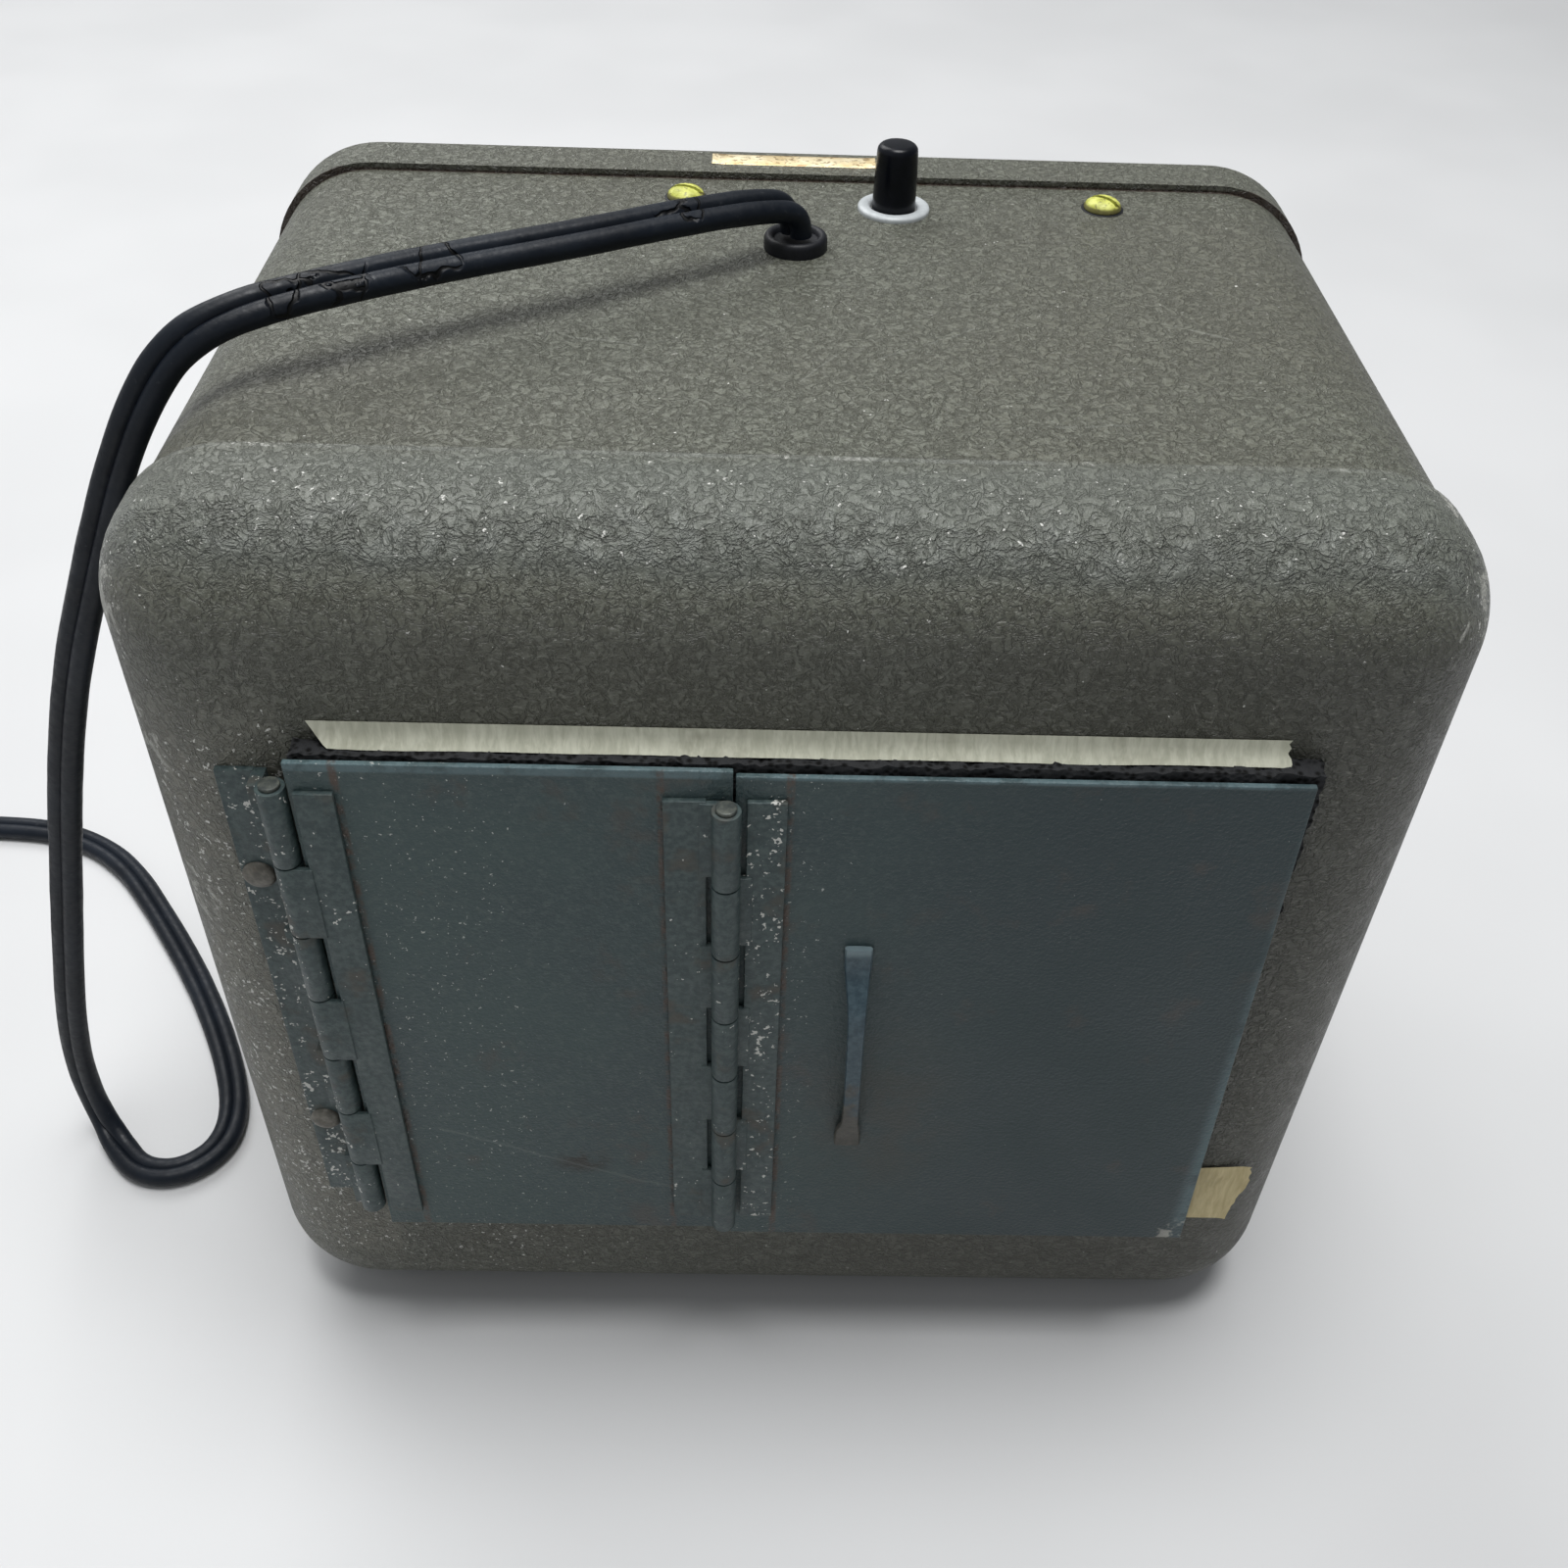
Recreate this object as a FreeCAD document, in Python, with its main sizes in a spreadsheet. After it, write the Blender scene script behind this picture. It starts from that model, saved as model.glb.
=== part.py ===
import FreeCAD, Part
import Sketcher
import math
import os
import re

# Compact garage door opener: a painted cabinet with a folding service door, holding a
# geared motor drive and its control gear. Millimetres, +Z up, origin on the table under
# the middle of the cabinet. The service door faces -Y, the output shaft leaves along +Y.

doc = FreeCAD.newDocument("garage_door_opener")
sheet = doc.addObject("Spreadsheet::Sheet", "sizes")

SIZES = {
    # cabinet shells
    "casing_width": 203, "casing_height": 192, "casing_depth": 142, "corner_radius": 21,
    "pan_edge_radius": 19, "bezel_edge_radius": 5, "shell_wall": 1.2, "lap_gap": 0.05,
    "base_lift": 1.2, "pan_depth": 24, "bezel_depth": 14.6, "sleeve_start": 19.5,
    "sleeve_length": 116, "base_width": 156, "base_length": 116, "base_y": -51,
    # base bolts, through the base plate, the sleeve and the chassis tray
    "bolt_x": 50, "bolt_y_front": -46, "bolt_y_back": 54, "bolt_radius": 2.75,
    # service opening and foam seal
    "opening_left": -66, "opening_right": 70, "opening_low": 46, "opening_high": 150,
    "foam_left": -73, "foam_right": 76.5, "foam_low": 39, "foam_high": 157.7,
    "foam_thick": 3.7,
    # door plates
    "plate_standoff": 4, "plate_thick": 1, "door_left": -73.5, "fold_left": -9.2,
    "fold_right": -8.8, "door_right_top": 75.3, "door_right_low": 78.4,
    "left_low": 40.4, "left_high": 157.3, "right_low": 38.7, "right_high": 156.4,
    # hinges
    "hinge_low": 45.8, "knuckle_pitch": 15.2, "knuckle_gap": 0.3, "barrel_radius": 2.2,
    "pin_radius": 1.1, "pin_fit": 0.05, "leaf_thick": 1, "side_pin_x": -76.2,
    "side_pin_out": 4.2, "fold_pin_x": -10.1, "fold_pin_out": 7.5, "leaf_clear": 3,
    "side_leaf_left": -85.1, "side_leaf_right": -66.8, "fold_leaf_left": -19.4,
    "fold_leaf_right": -1.2, "leaf_rivet_x": -82.4, "leaf_rivet_high": 130.7,
    "leaf_rivet_low": 68, "leaf_rivet_radius": 2.65, "rivet_shank": 1.4, "rivet_rise": 1.1,
    "rivet_taper": 0.6, "knuckle_clear": 0.35, "pin_head_radius": 1.6, "pin_head": 0.7,
    "tongue_rise": 0.3, "tongue_lap": 1,
    # pull handle
    "pull_x": 11.2, "pull_low": 69, "pull_high": 121, "pull_pad": 7, "pull_width": 3.4,
    "pull_pad_width": 5.4, "pull_rise": 4.2, "pull_thick": 1.4,
    # top fittings
    "button_x": 17.7, "button_y": 44, "button_radius": 4, "button_rise": 11.2,
    "collar_radius": 6.65, "collar_thick": 1, "bush_radius": 5.4,
    "bush_drop": 13, "screw_left_x": -20.8, "screw_right_x": 57, "screw_y": 47,
    "screw_head_radius": 3.5, "screw_shank": 2, "screw_length": 10, "grommet_x": -0.6,
    "grommet_y": 26, "grommet_radius": 5.6, "grommet_rise": 2.6, "grommet_neck": 4.2,
    "badge_width": 31.5, "badge_length": 4.6, "badge_y": 60.4, "badge_thick": 0.3,
    # masking tape
    "tape_thick": 0.15, "tape_left": -71, "tape_right": 72, "tape_high": 161.2,
    "tape_out": 2.4, "patch_left": 77, "patch_right": 90, "patch_low": 38, "patch_high": 56,
    # front panel on the output side
    "panel_wall": 1.2, "panel_half": 84, "panel_low": 16, "panel_high": 178,
    "window_half": 74, "window_low": 26, "window_high": 168, "lens_half": 52,
    "lens_low": 128, "lens_high": 158, "lens_thick": 2.4,
    # drive train
    "tooth_module": 1, "motor_teeth": 18, "idler_teeth": 54, "idler_pinion_teeth": 16,
    "output_teeth": 64, "output_x": 38, "output_z": 58, "idler_angle": 155,
    "motor_angle": 155, "gear_width": 6, "pinion_width": 9, "first_gear_y": 16,
    "second_gear_y": 27, "shaft_fit": 0.05, "motor_shaft": 4, "idler_shaft": 4,
    "output_shaft": 6, "shaft_stub": 5, "shaft_step": 84.2, "shaft_end": 96,
    "sprocket_teeth": 14, "sprocket_pitch": 9.525, "tooth_tip": 2, "roller_seat": 2.6,
    "sprocket_y": 77, "sprocket_thick": 3.2, "plate_low": 5.2, "plate_high": 128,
    "plate_left": -62, "plate_right": 80, "gear_plate": 2, "rear_plate_y": 10,
    "front_plate_y": 46, "front_plate_high": 112, "bush_wall": 3,
    # motor
    "motor_radius": 31, "motor_wall": 2, "motor_start": -46, "motor_length": 54,
    "motor_cap": 2, "rotor_radius": 19, "rotor_start": -32, "rotor_length": 28,
    "winding_inner": 20, "fan_radius": 17, "fan_y": -41,
    # control gear
    "tray_thick": 1.5, "tray_half": 80, "tray_front": -50, "tray_length": 110, "tray_lip": 10,
    "shelf_z": 94, "shelf_left": 8, "shelf_length": 68, "shelf_depth": 36, "valve_radius": 8.5,
    "valve_rise": 36, "trans_x": 12, "trans_y": -36, "trans_width": 46, "trans_depth": 26,
    "trans_height": 40, "relay_x": -80, "relay_y": -42, "relay_width": 20,
    "relay_length": 30, "relay_pivot": 23.2, "ear_thick": 0.9, "pivot_radius": 0.6,
    "cap_x": -73.5, "cap_y": 5, "cap_radius": 10, "cap_height": 64, "strip_x": 60, "strip_y": -42, "strip_length": 44,
    "lamp_y": 54, "lamp_z": 150, "lamp_radius": 12,
    # power cord
    "cord_radius": 2.4, "coil_x": -262, "coil_y": 25, "coil_inner": 27.5,
    "coil_outer": 48.5, "coil_height": 9, "coil_lift": 0.2,
    "plug_length": 28, "plug_width": 18, "plug_height": 11, "blade_length": 17,
    "blade_thick": 1.5, "blade_width": 6.4, "blade_spread": 12.7,
}

for row, (alias, value) in enumerate(SIZES.items(), start=1):
    sheet.set("A%d" % row, alias)
    sheet.set("B%d" % row, str(value))
    sheet.setAlias("B%d" % row, alias)
doc.recompute()

NODES = []
UP = FreeCAD.Rotation()
BACK = FreeCAD.Rotation(FreeCAD.Vector(1, 0, 0), -90)
RIGHT = FreeCAD.Rotation(FreeCAD.Vector(0, 1, 0), 90)
FACE = "-casing_depth / 2"
SKIN_TOP = "(casing_height - shell_wall - lap_gap)"
FLOOR_IN = "(base_lift + 2 * shell_wall + 2 * lap_gap)"


def size(alias):
    return float(sheet.get(alias))


def bound(formula):
    """Point every size name in a formula at its cell in the sheet."""
    def cell(word):
        return "sizes." + word.group() if word.group() in SIZES else word.group()
    return re.sub(r"[a-z]\w*", cell, str(formula))


def put(thing, at, turn=UP):
    thing.Placement = FreeCAD.Placement(FreeCAD.Vector(), turn)
    for axis, formula in zip("xyz", at):
        thing.setExpression("Placement.Base." + axis, bound(formula))
    return thing


def box(lengths, at):
    block = doc.addObject("Part::Box", "block")
    for side, formula in zip(("Length", "Width", "Height"), lengths):
        block.setExpression(side, bound(formula))
    return put(block, at)


def rod(radius, length, at, turn=UP):
    cylinder = doc.addObject("Part::Cylinder", "rod")
    cylinder.setExpression("Radius", bound(radius))
    cylinder.setExpression("Height", bound(length))
    return put(cylinder, at, turn)


def cone(low_radius, high_radius, length, at, turn=UP):
    taper = doc.addObject("Part::Cone", "cone")
    taper.setExpression("Radius1", bound(low_radius))
    taper.setExpression("Radius2", bound(high_radius))
    taper.setExpression("Height", bound(length))
    return put(taper, at, turn)


def fuse(*pieces):
    joined = doc.addObject("Part::MultiFuse", "joined")
    joined.Shapes = list(pieces)
    return joined


def group(*pieces):
    together = doc.addObject("Part::Compound", "group")
    together.Links = list(pieces)
    return together


def cut(stock, *tools):
    for tool in tools:
        trimmed = doc.addObject("Part::Cut", "trimmed")
        trimmed.Base = stock
        trimmed.Tool = tool
        stock = trimmed
    return stock


def common(first, second):
    shared = doc.addObject("Part::Common", "shared")
    shared.Base = first
    shared.Tool = second
    return shared


def ring(outer, inner, length, at, turn=UP):
    return cut(rod(outer, length, at, turn), rod(inner, length, at, turn))


def solid(name, shape, at=(0, 0, 0)):
    """Hold a shape worked out from the sheet's sizes, then place it."""
    holder = doc.addObject("Part::Feature", name)
    holder.Shape = shape
    holder.Placement = FreeCAD.Placement(FreeCAD.Vector(*at), UP)
    return holder


def node(label, thing):
    thing.Label = label
    NODES.append(thing)
    return thing


# ---------------------------------------------------------------- cabinet shells

def rounded_rectangle(sketch, width, height, corner):
    """A closed outline about the sketch origin, its sizes bound to the sheet."""
    half_w, half_h, bend = 100.0, 95.0, 20.0
    spots = ((1, 1), (-1, 1), (-1, -1), (1, -1))
    arcs = []
    for quarter, (across, along) in enumerate(spots):
        centre = FreeCAD.Vector(across * (half_w - bend), along * (half_h - bend), 0)
        circle = Part.Circle(centre, FreeCAD.Vector(0, 0, 1), bend)
        start = quarter * math.pi / 2
        arcs.append(sketch.addGeometry(Part.ArcOfCircle(circle, start, start + math.pi / 2)))
    sides = []
    for here, after in zip(arcs, arcs[1:] + arcs[:1]):
        first = sketch.getPoint(here, 2)
        last = sketch.getPoint(after, 1)
        line = sketch.addGeometry(Part.LineSegment(first, last))
        sketch.addConstraint(Sketcher.Constraint("Tangent", here, 2, line, 1))
        sketch.addConstraint(Sketcher.Constraint("Tangent", line, 2, after, 1))
        sides.append(line)
    for line in (sides[0], sides[2]):
        sketch.addConstraint(Sketcher.Constraint("Horizontal", line))
    for line in (sides[1], sides[3]):
        sketch.addConstraint(Sketcher.Constraint("Vertical", line))
    for arc in arcs[1:]:
        sketch.addConstraint(Sketcher.Constraint("Equal", arcs[0], arc))
    sketch.addConstraint(Sketcher.Constraint("Symmetric", arcs[0], 3, arcs[2], 3, -1, 1))
    bend_row = sketch.addConstraint(Sketcher.Constraint("Radius", arcs[0], bend))
    wide_row = sketch.addConstraint(
        Sketcher.Constraint("DistanceX", sides[1], 1, sides[3], 1, 2 * half_w))
    high_row = sketch.addConstraint(
        Sketcher.Constraint("DistanceY", sides[2], 1, sides[0], 1, 2 * half_h))
    for row, formula in ((bend_row, corner), (wide_row, width), (high_row, height)):
        sketch.setExpression("Constraints[%d]" % row, bound(formula))


def padded_outline(name, width, height, corner, depth, start):
    """A body padded along +Y from a rounded rectangle, centred on the cabinet."""
    body = doc.addObject("PartDesign::Body", name)
    put(body, (0, start, "base_lift + (casing_height - base_lift) / 2"))
    sketch = body.newObject("Sketcher::SketchObject", name + "_outline")
    plane = [item for item in body.Origin.OriginFeatures if item.Role == "XZ_Plane"][0]
    sketch.AttachmentSupport = [(plane, "")]
    sketch.MapMode = "FlatFace"
    rounded_rectangle(sketch, width, height, corner)
    pad = body.newObject("PartDesign::Pad", name + "_pad")
    pad.Profile = sketch
    pad.Reversed = True
    pad.setExpression("Length", bound(depth))
    doc.recompute()
    return body, pad


def drawn_shell(name, depth, edge_radius, start, face_first):
    """A drawn pan: rounded outer edges, an even wall, open on one side."""
    body, pad = padded_outline(name, "casing_width", "casing_height - base_lift",
                               "corner_radius", depth, start)
    face_y = 0 if face_first else size(depth)
    open_y = size(depth) if face_first else 0
    rims = ["Edge%d" % (index + 1) for index, edge in enumerate(pad.Shape.Edges)
            if abs(edge.BoundBox.YMin - face_y) < 0.01 and abs(edge.BoundBox.YMax - face_y) < 0.01]
    fillet = body.newObject("PartDesign::Fillet", name + "_fillet")
    fillet.Base = (pad, rims)
    fillet.setExpression("Radius", bound(edge_radius))
    doc.recompute()
    mouths = ["Face%d" % (index + 1) for index, face in enumerate(fillet.Shape.Faces)
              if abs(face.BoundBox.YMin - open_y) < 0.01 and abs(face.BoundBox.YMax - open_y) < 0.01]
    shell = body.newObject("PartDesign::Thickness", name + "_wall")
    shell.Base = (fillet, mouths)
    shell.Reversed = True
    shell.setExpression("Value", bound("shell_wall"))
    doc.recompute()
    return body


pan = drawn_shell("rear_pan_body", "pan_depth", "pan_edge_radius", FACE, True)
opening = box(("opening_right - opening_left", "3 * shell_wall", "opening_high - opening_low"),
              ("opening_left", FACE + " - shell_wall", "opening_low"))
rivet_holes = [rod("rivet_shank + pin_fit", "4 * shell_wall",
                   ("leaf_rivet_x", FACE + " - shell_wall", level), BACK)
               for level in ("leaf_rivet_high", "leaf_rivet_low")]
node("rear_pan", cut(pan, opening, *rivet_holes))

sleeve, sleeve_pad = padded_outline(
    "sleeve_body", "casing_width - 2 * (shell_wall + lap_gap)",
    "casing_height - base_lift - 2 * (shell_wall + lap_gap)",
    "corner_radius - shell_wall - lap_gap", "sleeve_length", FACE + " + sleeve_start")
hollow, hollow_pad = padded_outline(
    "hollow_body", "casing_width - 4 * shell_wall - 2 * lap_gap",
    "casing_height - base_lift - 4 * shell_wall - 2 * lap_gap",
    "corner_radius - 2 * shell_wall - lap_gap", "sleeve_length + 2",
    FACE + " + sleeve_start - 1")
bolt_spots = [(side + "bolt_x", row)
              for side in ("-", "") for row in ("bolt_y_front", "bolt_y_back")]
bolt_holes = [rod("bolt_radius", "12", (across, along, "-1")) for across, along in bolt_spots]
top_holes = [rod(radius, "20", (across, along, "casing_height - 18"))
             for radius, across, along in (("bush_radius + pin_fit", "button_x", "button_y"),
                                           ("grommet_neck", "grommet_x", "grommet_y"),
                                           ("screw_shank + pin_fit", "screw_left_x", "screw_y"),
                                           ("screw_shank + pin_fit", "screw_right_x", "screw_y"))]
node("body_sleeve", cut(sleeve, hollow, *(bolt_holes + top_holes)))

bezel = drawn_shell("front_bezel_body", "bezel_depth", "bezel_edge_radius",
                    "casing_depth / 2 - bezel_depth", False)
window = box(("2 * window_half", "3 * shell_wall", "window_high - window_low"),
             ("-window_half", "casing_depth / 2 - 2 * shell_wall", "window_low"))
node("front_bezel", cut(bezel, window))

panel_y = "casing_depth / 2 - shell_wall - panel_wall"
panel = box(("2 * panel_half", "panel_wall", "panel_high - panel_low"),
            ("-panel_half", panel_y, "panel_low"))
lens_hole = box(("2 * lens_half", "3 * panel_wall", "lens_high - lens_low"),
                ("-lens_half", panel_y + " - panel_wall", "lens_low"))
shaft_hole = rod("output_shaft + 3", "3 * panel_wall",
                 ("output_x", panel_y + " - panel_wall", "output_z"), BACK)
node("front_panel", cut(panel, lens_hole, shaft_hole))

lens_face = box(("2 * lens_half - 0.4", "lens_thick", "lens_high - lens_low - 0.4"),
                ("-lens_half + 0.2", panel_y, "lens_low + 0.2"))
lens_rim = box(("2 * lens_half + 6", "1", "lens_high - lens_low + 6"),
               ("-lens_half - 3", panel_y + " - 1", "lens_low - 3"))
node("light_lens", fuse(lens_face, lens_rim))

base = box(("base_width", "base_length", "base_lift"), ("-base_width / 2", "base_y", "0"))
node("base_plate", cut(base, *bolt_holes))

# ---------------------------------------------------------------- service door

foam = box(("foam_right - foam_left", "foam_thick", "foam_high - foam_low"),
           ("foam_left", FACE + " - foam_thick", "foam_low"))
foam_hole = box(("opening_right - opening_left", "3 * foam_thick", "opening_high - opening_low"),
                ("opening_left", FACE + " - 2 * foam_thick", "opening_low"))
node("foam_seal", cut(foam, foam_hole))

plate_y = FACE + " - plate_standoff - plate_thick"
node("left_door_plate", box(("fold_left - door_left", "plate_thick", "left_high - left_low"),
                            ("door_left", plate_y, "left_low")))

right_plate = doc.addObject("Part::Wedge", "right_plate")
for side, formula in (("Xmin", "0"), ("Xmax", "door_right_low - fold_right"), ("X2min", "0"),
                      ("X2max", "door_right_top - fold_right"), ("Ymin", "0"),
                      ("Ymax", "right_high - right_low"), ("Zmin", "0"), ("Zmax", "plate_thick"),
                      ("Z2min", "0"), ("Z2max", "plate_thick")):
    right_plate.setExpression(side, bound(formula))
put(right_plate, ("fold_right", FACE + " - plate_standoff", "right_low"),
    FreeCAD.Rotation(FreeCAD.Vector(1, 0, 0), 90))
node("right_door_plate", right_plate)

KNUCKLES = 7


def hinge_half(leaf, tongue, pin_x, pin_y, first):
    """A leaf and every second knuckle from the given one, bored for the pin."""
    pieces = [leaf]
    for place in range(first, KNUCKLES, 2):
        foot = "hinge_low + %d * knuckle_pitch + knuckle_gap / 2" % place
        tall = "knuckle_pitch - knuckle_gap"
        pieces.append(rod("barrel_radius", tall, (pin_x, pin_y, foot)))
        (left, near), (wide, deep) = tongue
        pieces.append(box((wide, deep, tall), (left, near, foot)))
    bore = rod("pin_radius + pin_fit", "%d * knuckle_pitch" % KNUCKLES, (pin_x, pin_y, "hinge_low"))
    slots = []
    for place in range(1 - first, KNUCKLES, 2):
        foot = "hinge_low + %d * knuckle_pitch - knuckle_gap / 2" % place
        slots.append(rod("barrel_radius + knuckle_clear", "knuckle_pitch + knuckle_gap",
                         (pin_x, pin_y, foot)))
    return cut(fuse(*pieces), bore, *slots)


def hinge_pin(pin_x, pin_y):
    """A plain pin, headed over at both ends."""
    tall = "%d * knuckle_pitch" % KNUCKLES
    shank = rod("pin_radius", tall, (pin_x, pin_y, "hinge_low"))
    low_head = rod("pin_head_radius", "pin_head",
                   (pin_x, pin_y, "hinge_low + knuckle_gap / 2 - pin_head"))
    high_head = rod("pin_head_radius", "pin_head",
                    (pin_x, pin_y, "hinge_low + %s - knuckle_gap / 2" % tall))
    return fuse(shank, low_head, high_head)


leaf_tall = "%d * knuckle_pitch" % KNUCKLES
side_y = FACE + " - side_pin_out"
casing_leaf = box(("side_pin_x - 3.2 - side_leaf_left", "leaf_thick", leaf_tall),
                  ("side_leaf_left", FACE + " - leaf_thick", "hinge_low"))
casing_tongue = (("side_pin_x - 3.4", FACE + " - side_pin_out"), ("2", "side_pin_out"))
casing_half = hinge_half(casing_leaf, casing_tongue, "side_pin_x", side_y, 0)
node("side_hinge_casing_leaf", cut(casing_half, *rivet_holes))
node("side_hinge_pin", hinge_pin("side_pin_x", side_y))

leaf_y = FACE + " - plate_standoff - plate_thick - leaf_thick"
tongue_y = leaf_y + " - tongue_rise"
door_leaf = box(("side_leaf_right - side_pin_x - leaf_clear - 0.6", "leaf_thick", leaf_tall),
                ("side_pin_x + leaf_clear + 0.6", leaf_y, "hinge_low"))
door_tongue = (("side_pin_x", tongue_y), ("leaf_clear + tongue_lap", "leaf_thick"))
node("side_hinge_door_leaf",
     hinge_half(door_leaf, door_tongue, "side_pin_x", side_y, 1))

fold_y = FACE + " - fold_pin_out"
left_leaf = box(("fold_pin_x - leaf_clear - fold_leaf_left", "leaf_thick", leaf_tall),
                ("fold_leaf_left", leaf_y, "hinge_low"))
left_tongue = (("fold_pin_x - leaf_clear - tongue_lap", tongue_y),
               ("leaf_clear + tongue_lap", "leaf_thick"))
node("fold_hinge_left_leaf", hinge_half(left_leaf, left_tongue, "fold_pin_x", fold_y, 0))
node("fold_hinge_pin", hinge_pin("fold_pin_x", fold_y))

right_leaf = box(("fold_leaf_right - fold_pin_x - leaf_clear", "leaf_thick", leaf_tall),
                 ("fold_pin_x + leaf_clear", leaf_y, "hinge_low"))
right_tongue = (("fold_pin_x", tongue_y), ("leaf_clear + tongue_lap", "leaf_thick"))
node("fold_hinge_right_leaf",
     hinge_half(right_leaf, right_tongue, "fold_pin_x", fold_y, 1))

leaf_rivets = []
for level in ("leaf_rivet_high", "leaf_rivet_low"):
    head = cone("leaf_rivet_radius", "leaf_rivet_radius - rivet_taper", "rivet_rise",
                ("leaf_rivet_x", FACE + " - leaf_thick", level),
                FreeCAD.Rotation(FreeCAD.Vector(1, 0, 0), 90))
    shank = rod("rivet_shank", "leaf_thick + shell_wall + 1",
                ("leaf_rivet_x", FACE + " - leaf_thick", level), BACK)
    leaf_rivets.append(fuse(head, shank))
node("side_hinge_rivets", group(*leaf_rivets))

pad_y = FACE + " - plate_standoff - plate_thick - pull_thick"
bar_y = FACE + " - plate_standoff - plate_thick - pull_rise - pull_thick"
pull_pieces = []
for foot in ("pull_low", "pull_high - pull_pad"):
    pull_pieces.append(box(("pull_pad_width", "pull_thick", "pull_pad"),
                           ("pull_x - pull_pad_width / 2", pad_y, foot)))
for foot in ("pull_low + pull_pad - pull_thick", "pull_high - pull_pad"):
    pull_pieces.append(box(("pull_width", "pull_rise + pull_thick", "pull_thick"),
                           ("pull_x - pull_width / 2", bar_y, foot)))
pull_pieces.append(box(
    ("pull_width", "pull_thick", "pull_high - pull_low - 2 * pull_pad + 2 * pull_thick"),
    ("pull_x - pull_width / 2", bar_y, "pull_low + pull_pad - pull_thick")))
node("pull_handle", fuse(*pull_pieces))

tape_lap = box(("tape_right - tape_left", "tape_out", "tape_thick"),
               ("tape_left", FACE + " - tape_out", "foam_high"))
tape_band = box(("tape_right - tape_left", "tape_thick", "tape_high - foam_high"),
                ("tape_left", FACE + " - tape_thick", "foam_high"))
node("tape_strip", fuse(tape_lap, tape_band))
node("tape_patch", box(("patch_right - patch_left", "tape_thick", "patch_high - patch_low"),
                       ("patch_left", FACE + " - tape_thick", "patch_low")))

# ---------------------------------------------------------------- top fittings

collar = rod("collar_radius", "collar_thick", ("button_x", "button_y", SKIN_TOP))
bush = rod("bush_radius", "bush_drop + collar_thick",
           ("button_x", "button_y", SKIN_TOP + " - bush_drop"))
bush_bore = rod("button_radius + pin_fit", "40", ("button_x", "button_y", "casing_height - 30"))
nut = ring("collar_radius + 2", "bush_radius", "2.5",
           ("button_x", "button_y", SKIN_TOP + " - shell_wall - 4.2"))
node("button_collar", group(cut(fuse(collar, bush), bush_bore), nut))

button_cap = cone("button_radius", "button_radius - 0.3", "button_rise + 8",
                  ("button_x", "button_y", SKIN_TOP + " + collar_thick - 8"))
button_stem = rod("2", "14", ("button_x", "button_y", SKIN_TOP + " + collar_thick - 18"))
rounded_cap = doc.addObject("Part::Fillet", "rounded_cap")
doc.recompute()
top_edges = [index + 1 for index, edge in enumerate(button_cap.Shape.Edges)
             if edge.Closed and edge.BoundBox.ZMin > button_cap.Shape.BoundBox.ZMax - 0.1]
rounded_cap.Base = button_cap
rounded_cap.Edges = [(index, 1.0, 1.0) for index in top_edges]
node("push_button", fuse(rounded_cap, button_stem))

screws = []
for across in ("screw_left_x", "screw_right_x"):
    ball = doc.addObject("Part::Sphere", "ball")
    ball.setExpression("Radius", bound("screw_head_radius + 0.4"))
    put(ball, (across, "screw_y", SKIN_TOP + " - 1.7"))
    head = common(ball, rod("screw_head_radius", "4", (across, "screw_y", SKIN_TOP)))
    slot = box(("3 * screw_head_radius", "0.9", "3"),
               (across + " - 1.5 * screw_head_radius", "screw_y - 0.45", SKIN_TOP + " + 1.2"))
    shank = rod("screw_shank", "screw_length", (across, "screw_y", SKIN_TOP + " - screw_length"))
    screws.append(fuse(cut(head, slot), shank))
node("cabinet_screws", group(*screws))

grommet_foot = ("grommet_x", "grommet_y", SKIN_TOP + " - shell_wall - grommet_rise")
node("cord_grommet", fuse(
    rod("grommet_radius", "grommet_rise", ("grommet_x", "grommet_y", SKIN_TOP)),
    rod("grommet_neck - pin_fit", "shell_wall + grommet_rise", grommet_foot),
    rod("grommet_radius", "grommet_rise - 0.2", grommet_foot)))

node("name_badge", box(("badge_width", "badge_length", "badge_thick"),
                       ("-badge_width / 2 - 0.6", "badge_y", "casing_height")))

# ---------------------------------------------------------------- chassis and drive

tray = box(("2 * tray_half", "tray_length", "tray_thick"), ("-tray_half", "tray_front", FLOOR_IN))
lip = box(("2 * tray_half", "tray_thick", "tray_lip"),
          ("-tray_half", "tray_front + tray_length", FLOOR_IN))
node("chassis_tray", cut(fuse(tray, lip), *bolt_holes))
TRAY_TOP = "(base_lift + 2 * shell_wall + 2 * lap_gap + tray_thick)"

module = size("tooth_module")
OUTPUT = (size("output_x"), size("output_z"))


def around(centre, distance, angle):
    turn = math.radians(angle)
    return (centre[0] + distance * math.cos(turn), centre[1] + distance * math.sin(turn))


far_reach = module * (size("output_teeth") + size("idler_pinion_teeth")) / 2
near_reach = module * (size("idler_teeth") + size("motor_teeth")) / 2
IDLER = around(OUTPUT, far_reach, size("idler_angle"))
MOTOR = around(IDLER, near_reach, size("motor_angle"))


def along_y(profile, depth, start, centre):
    """Extrude a closed outline drawn in X and Z along +Y from the start."""
    corners = [FreeCAD.Vector(centre[0] + x, start, centre[1] + z) for x, z in profile]
    wire = Part.makePolygon(corners + corners[:1])
    return Part.Face(wire).extrude(FreeCAD.Vector(0, depth, 0))


def disc(radius, depth, start, centre):
    foot = FreeCAD.Vector(centre[0], start, centre[1])
    return Part.makeCylinder(radius, depth, foot, FreeCAD.Vector(0, 1, 0))


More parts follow.
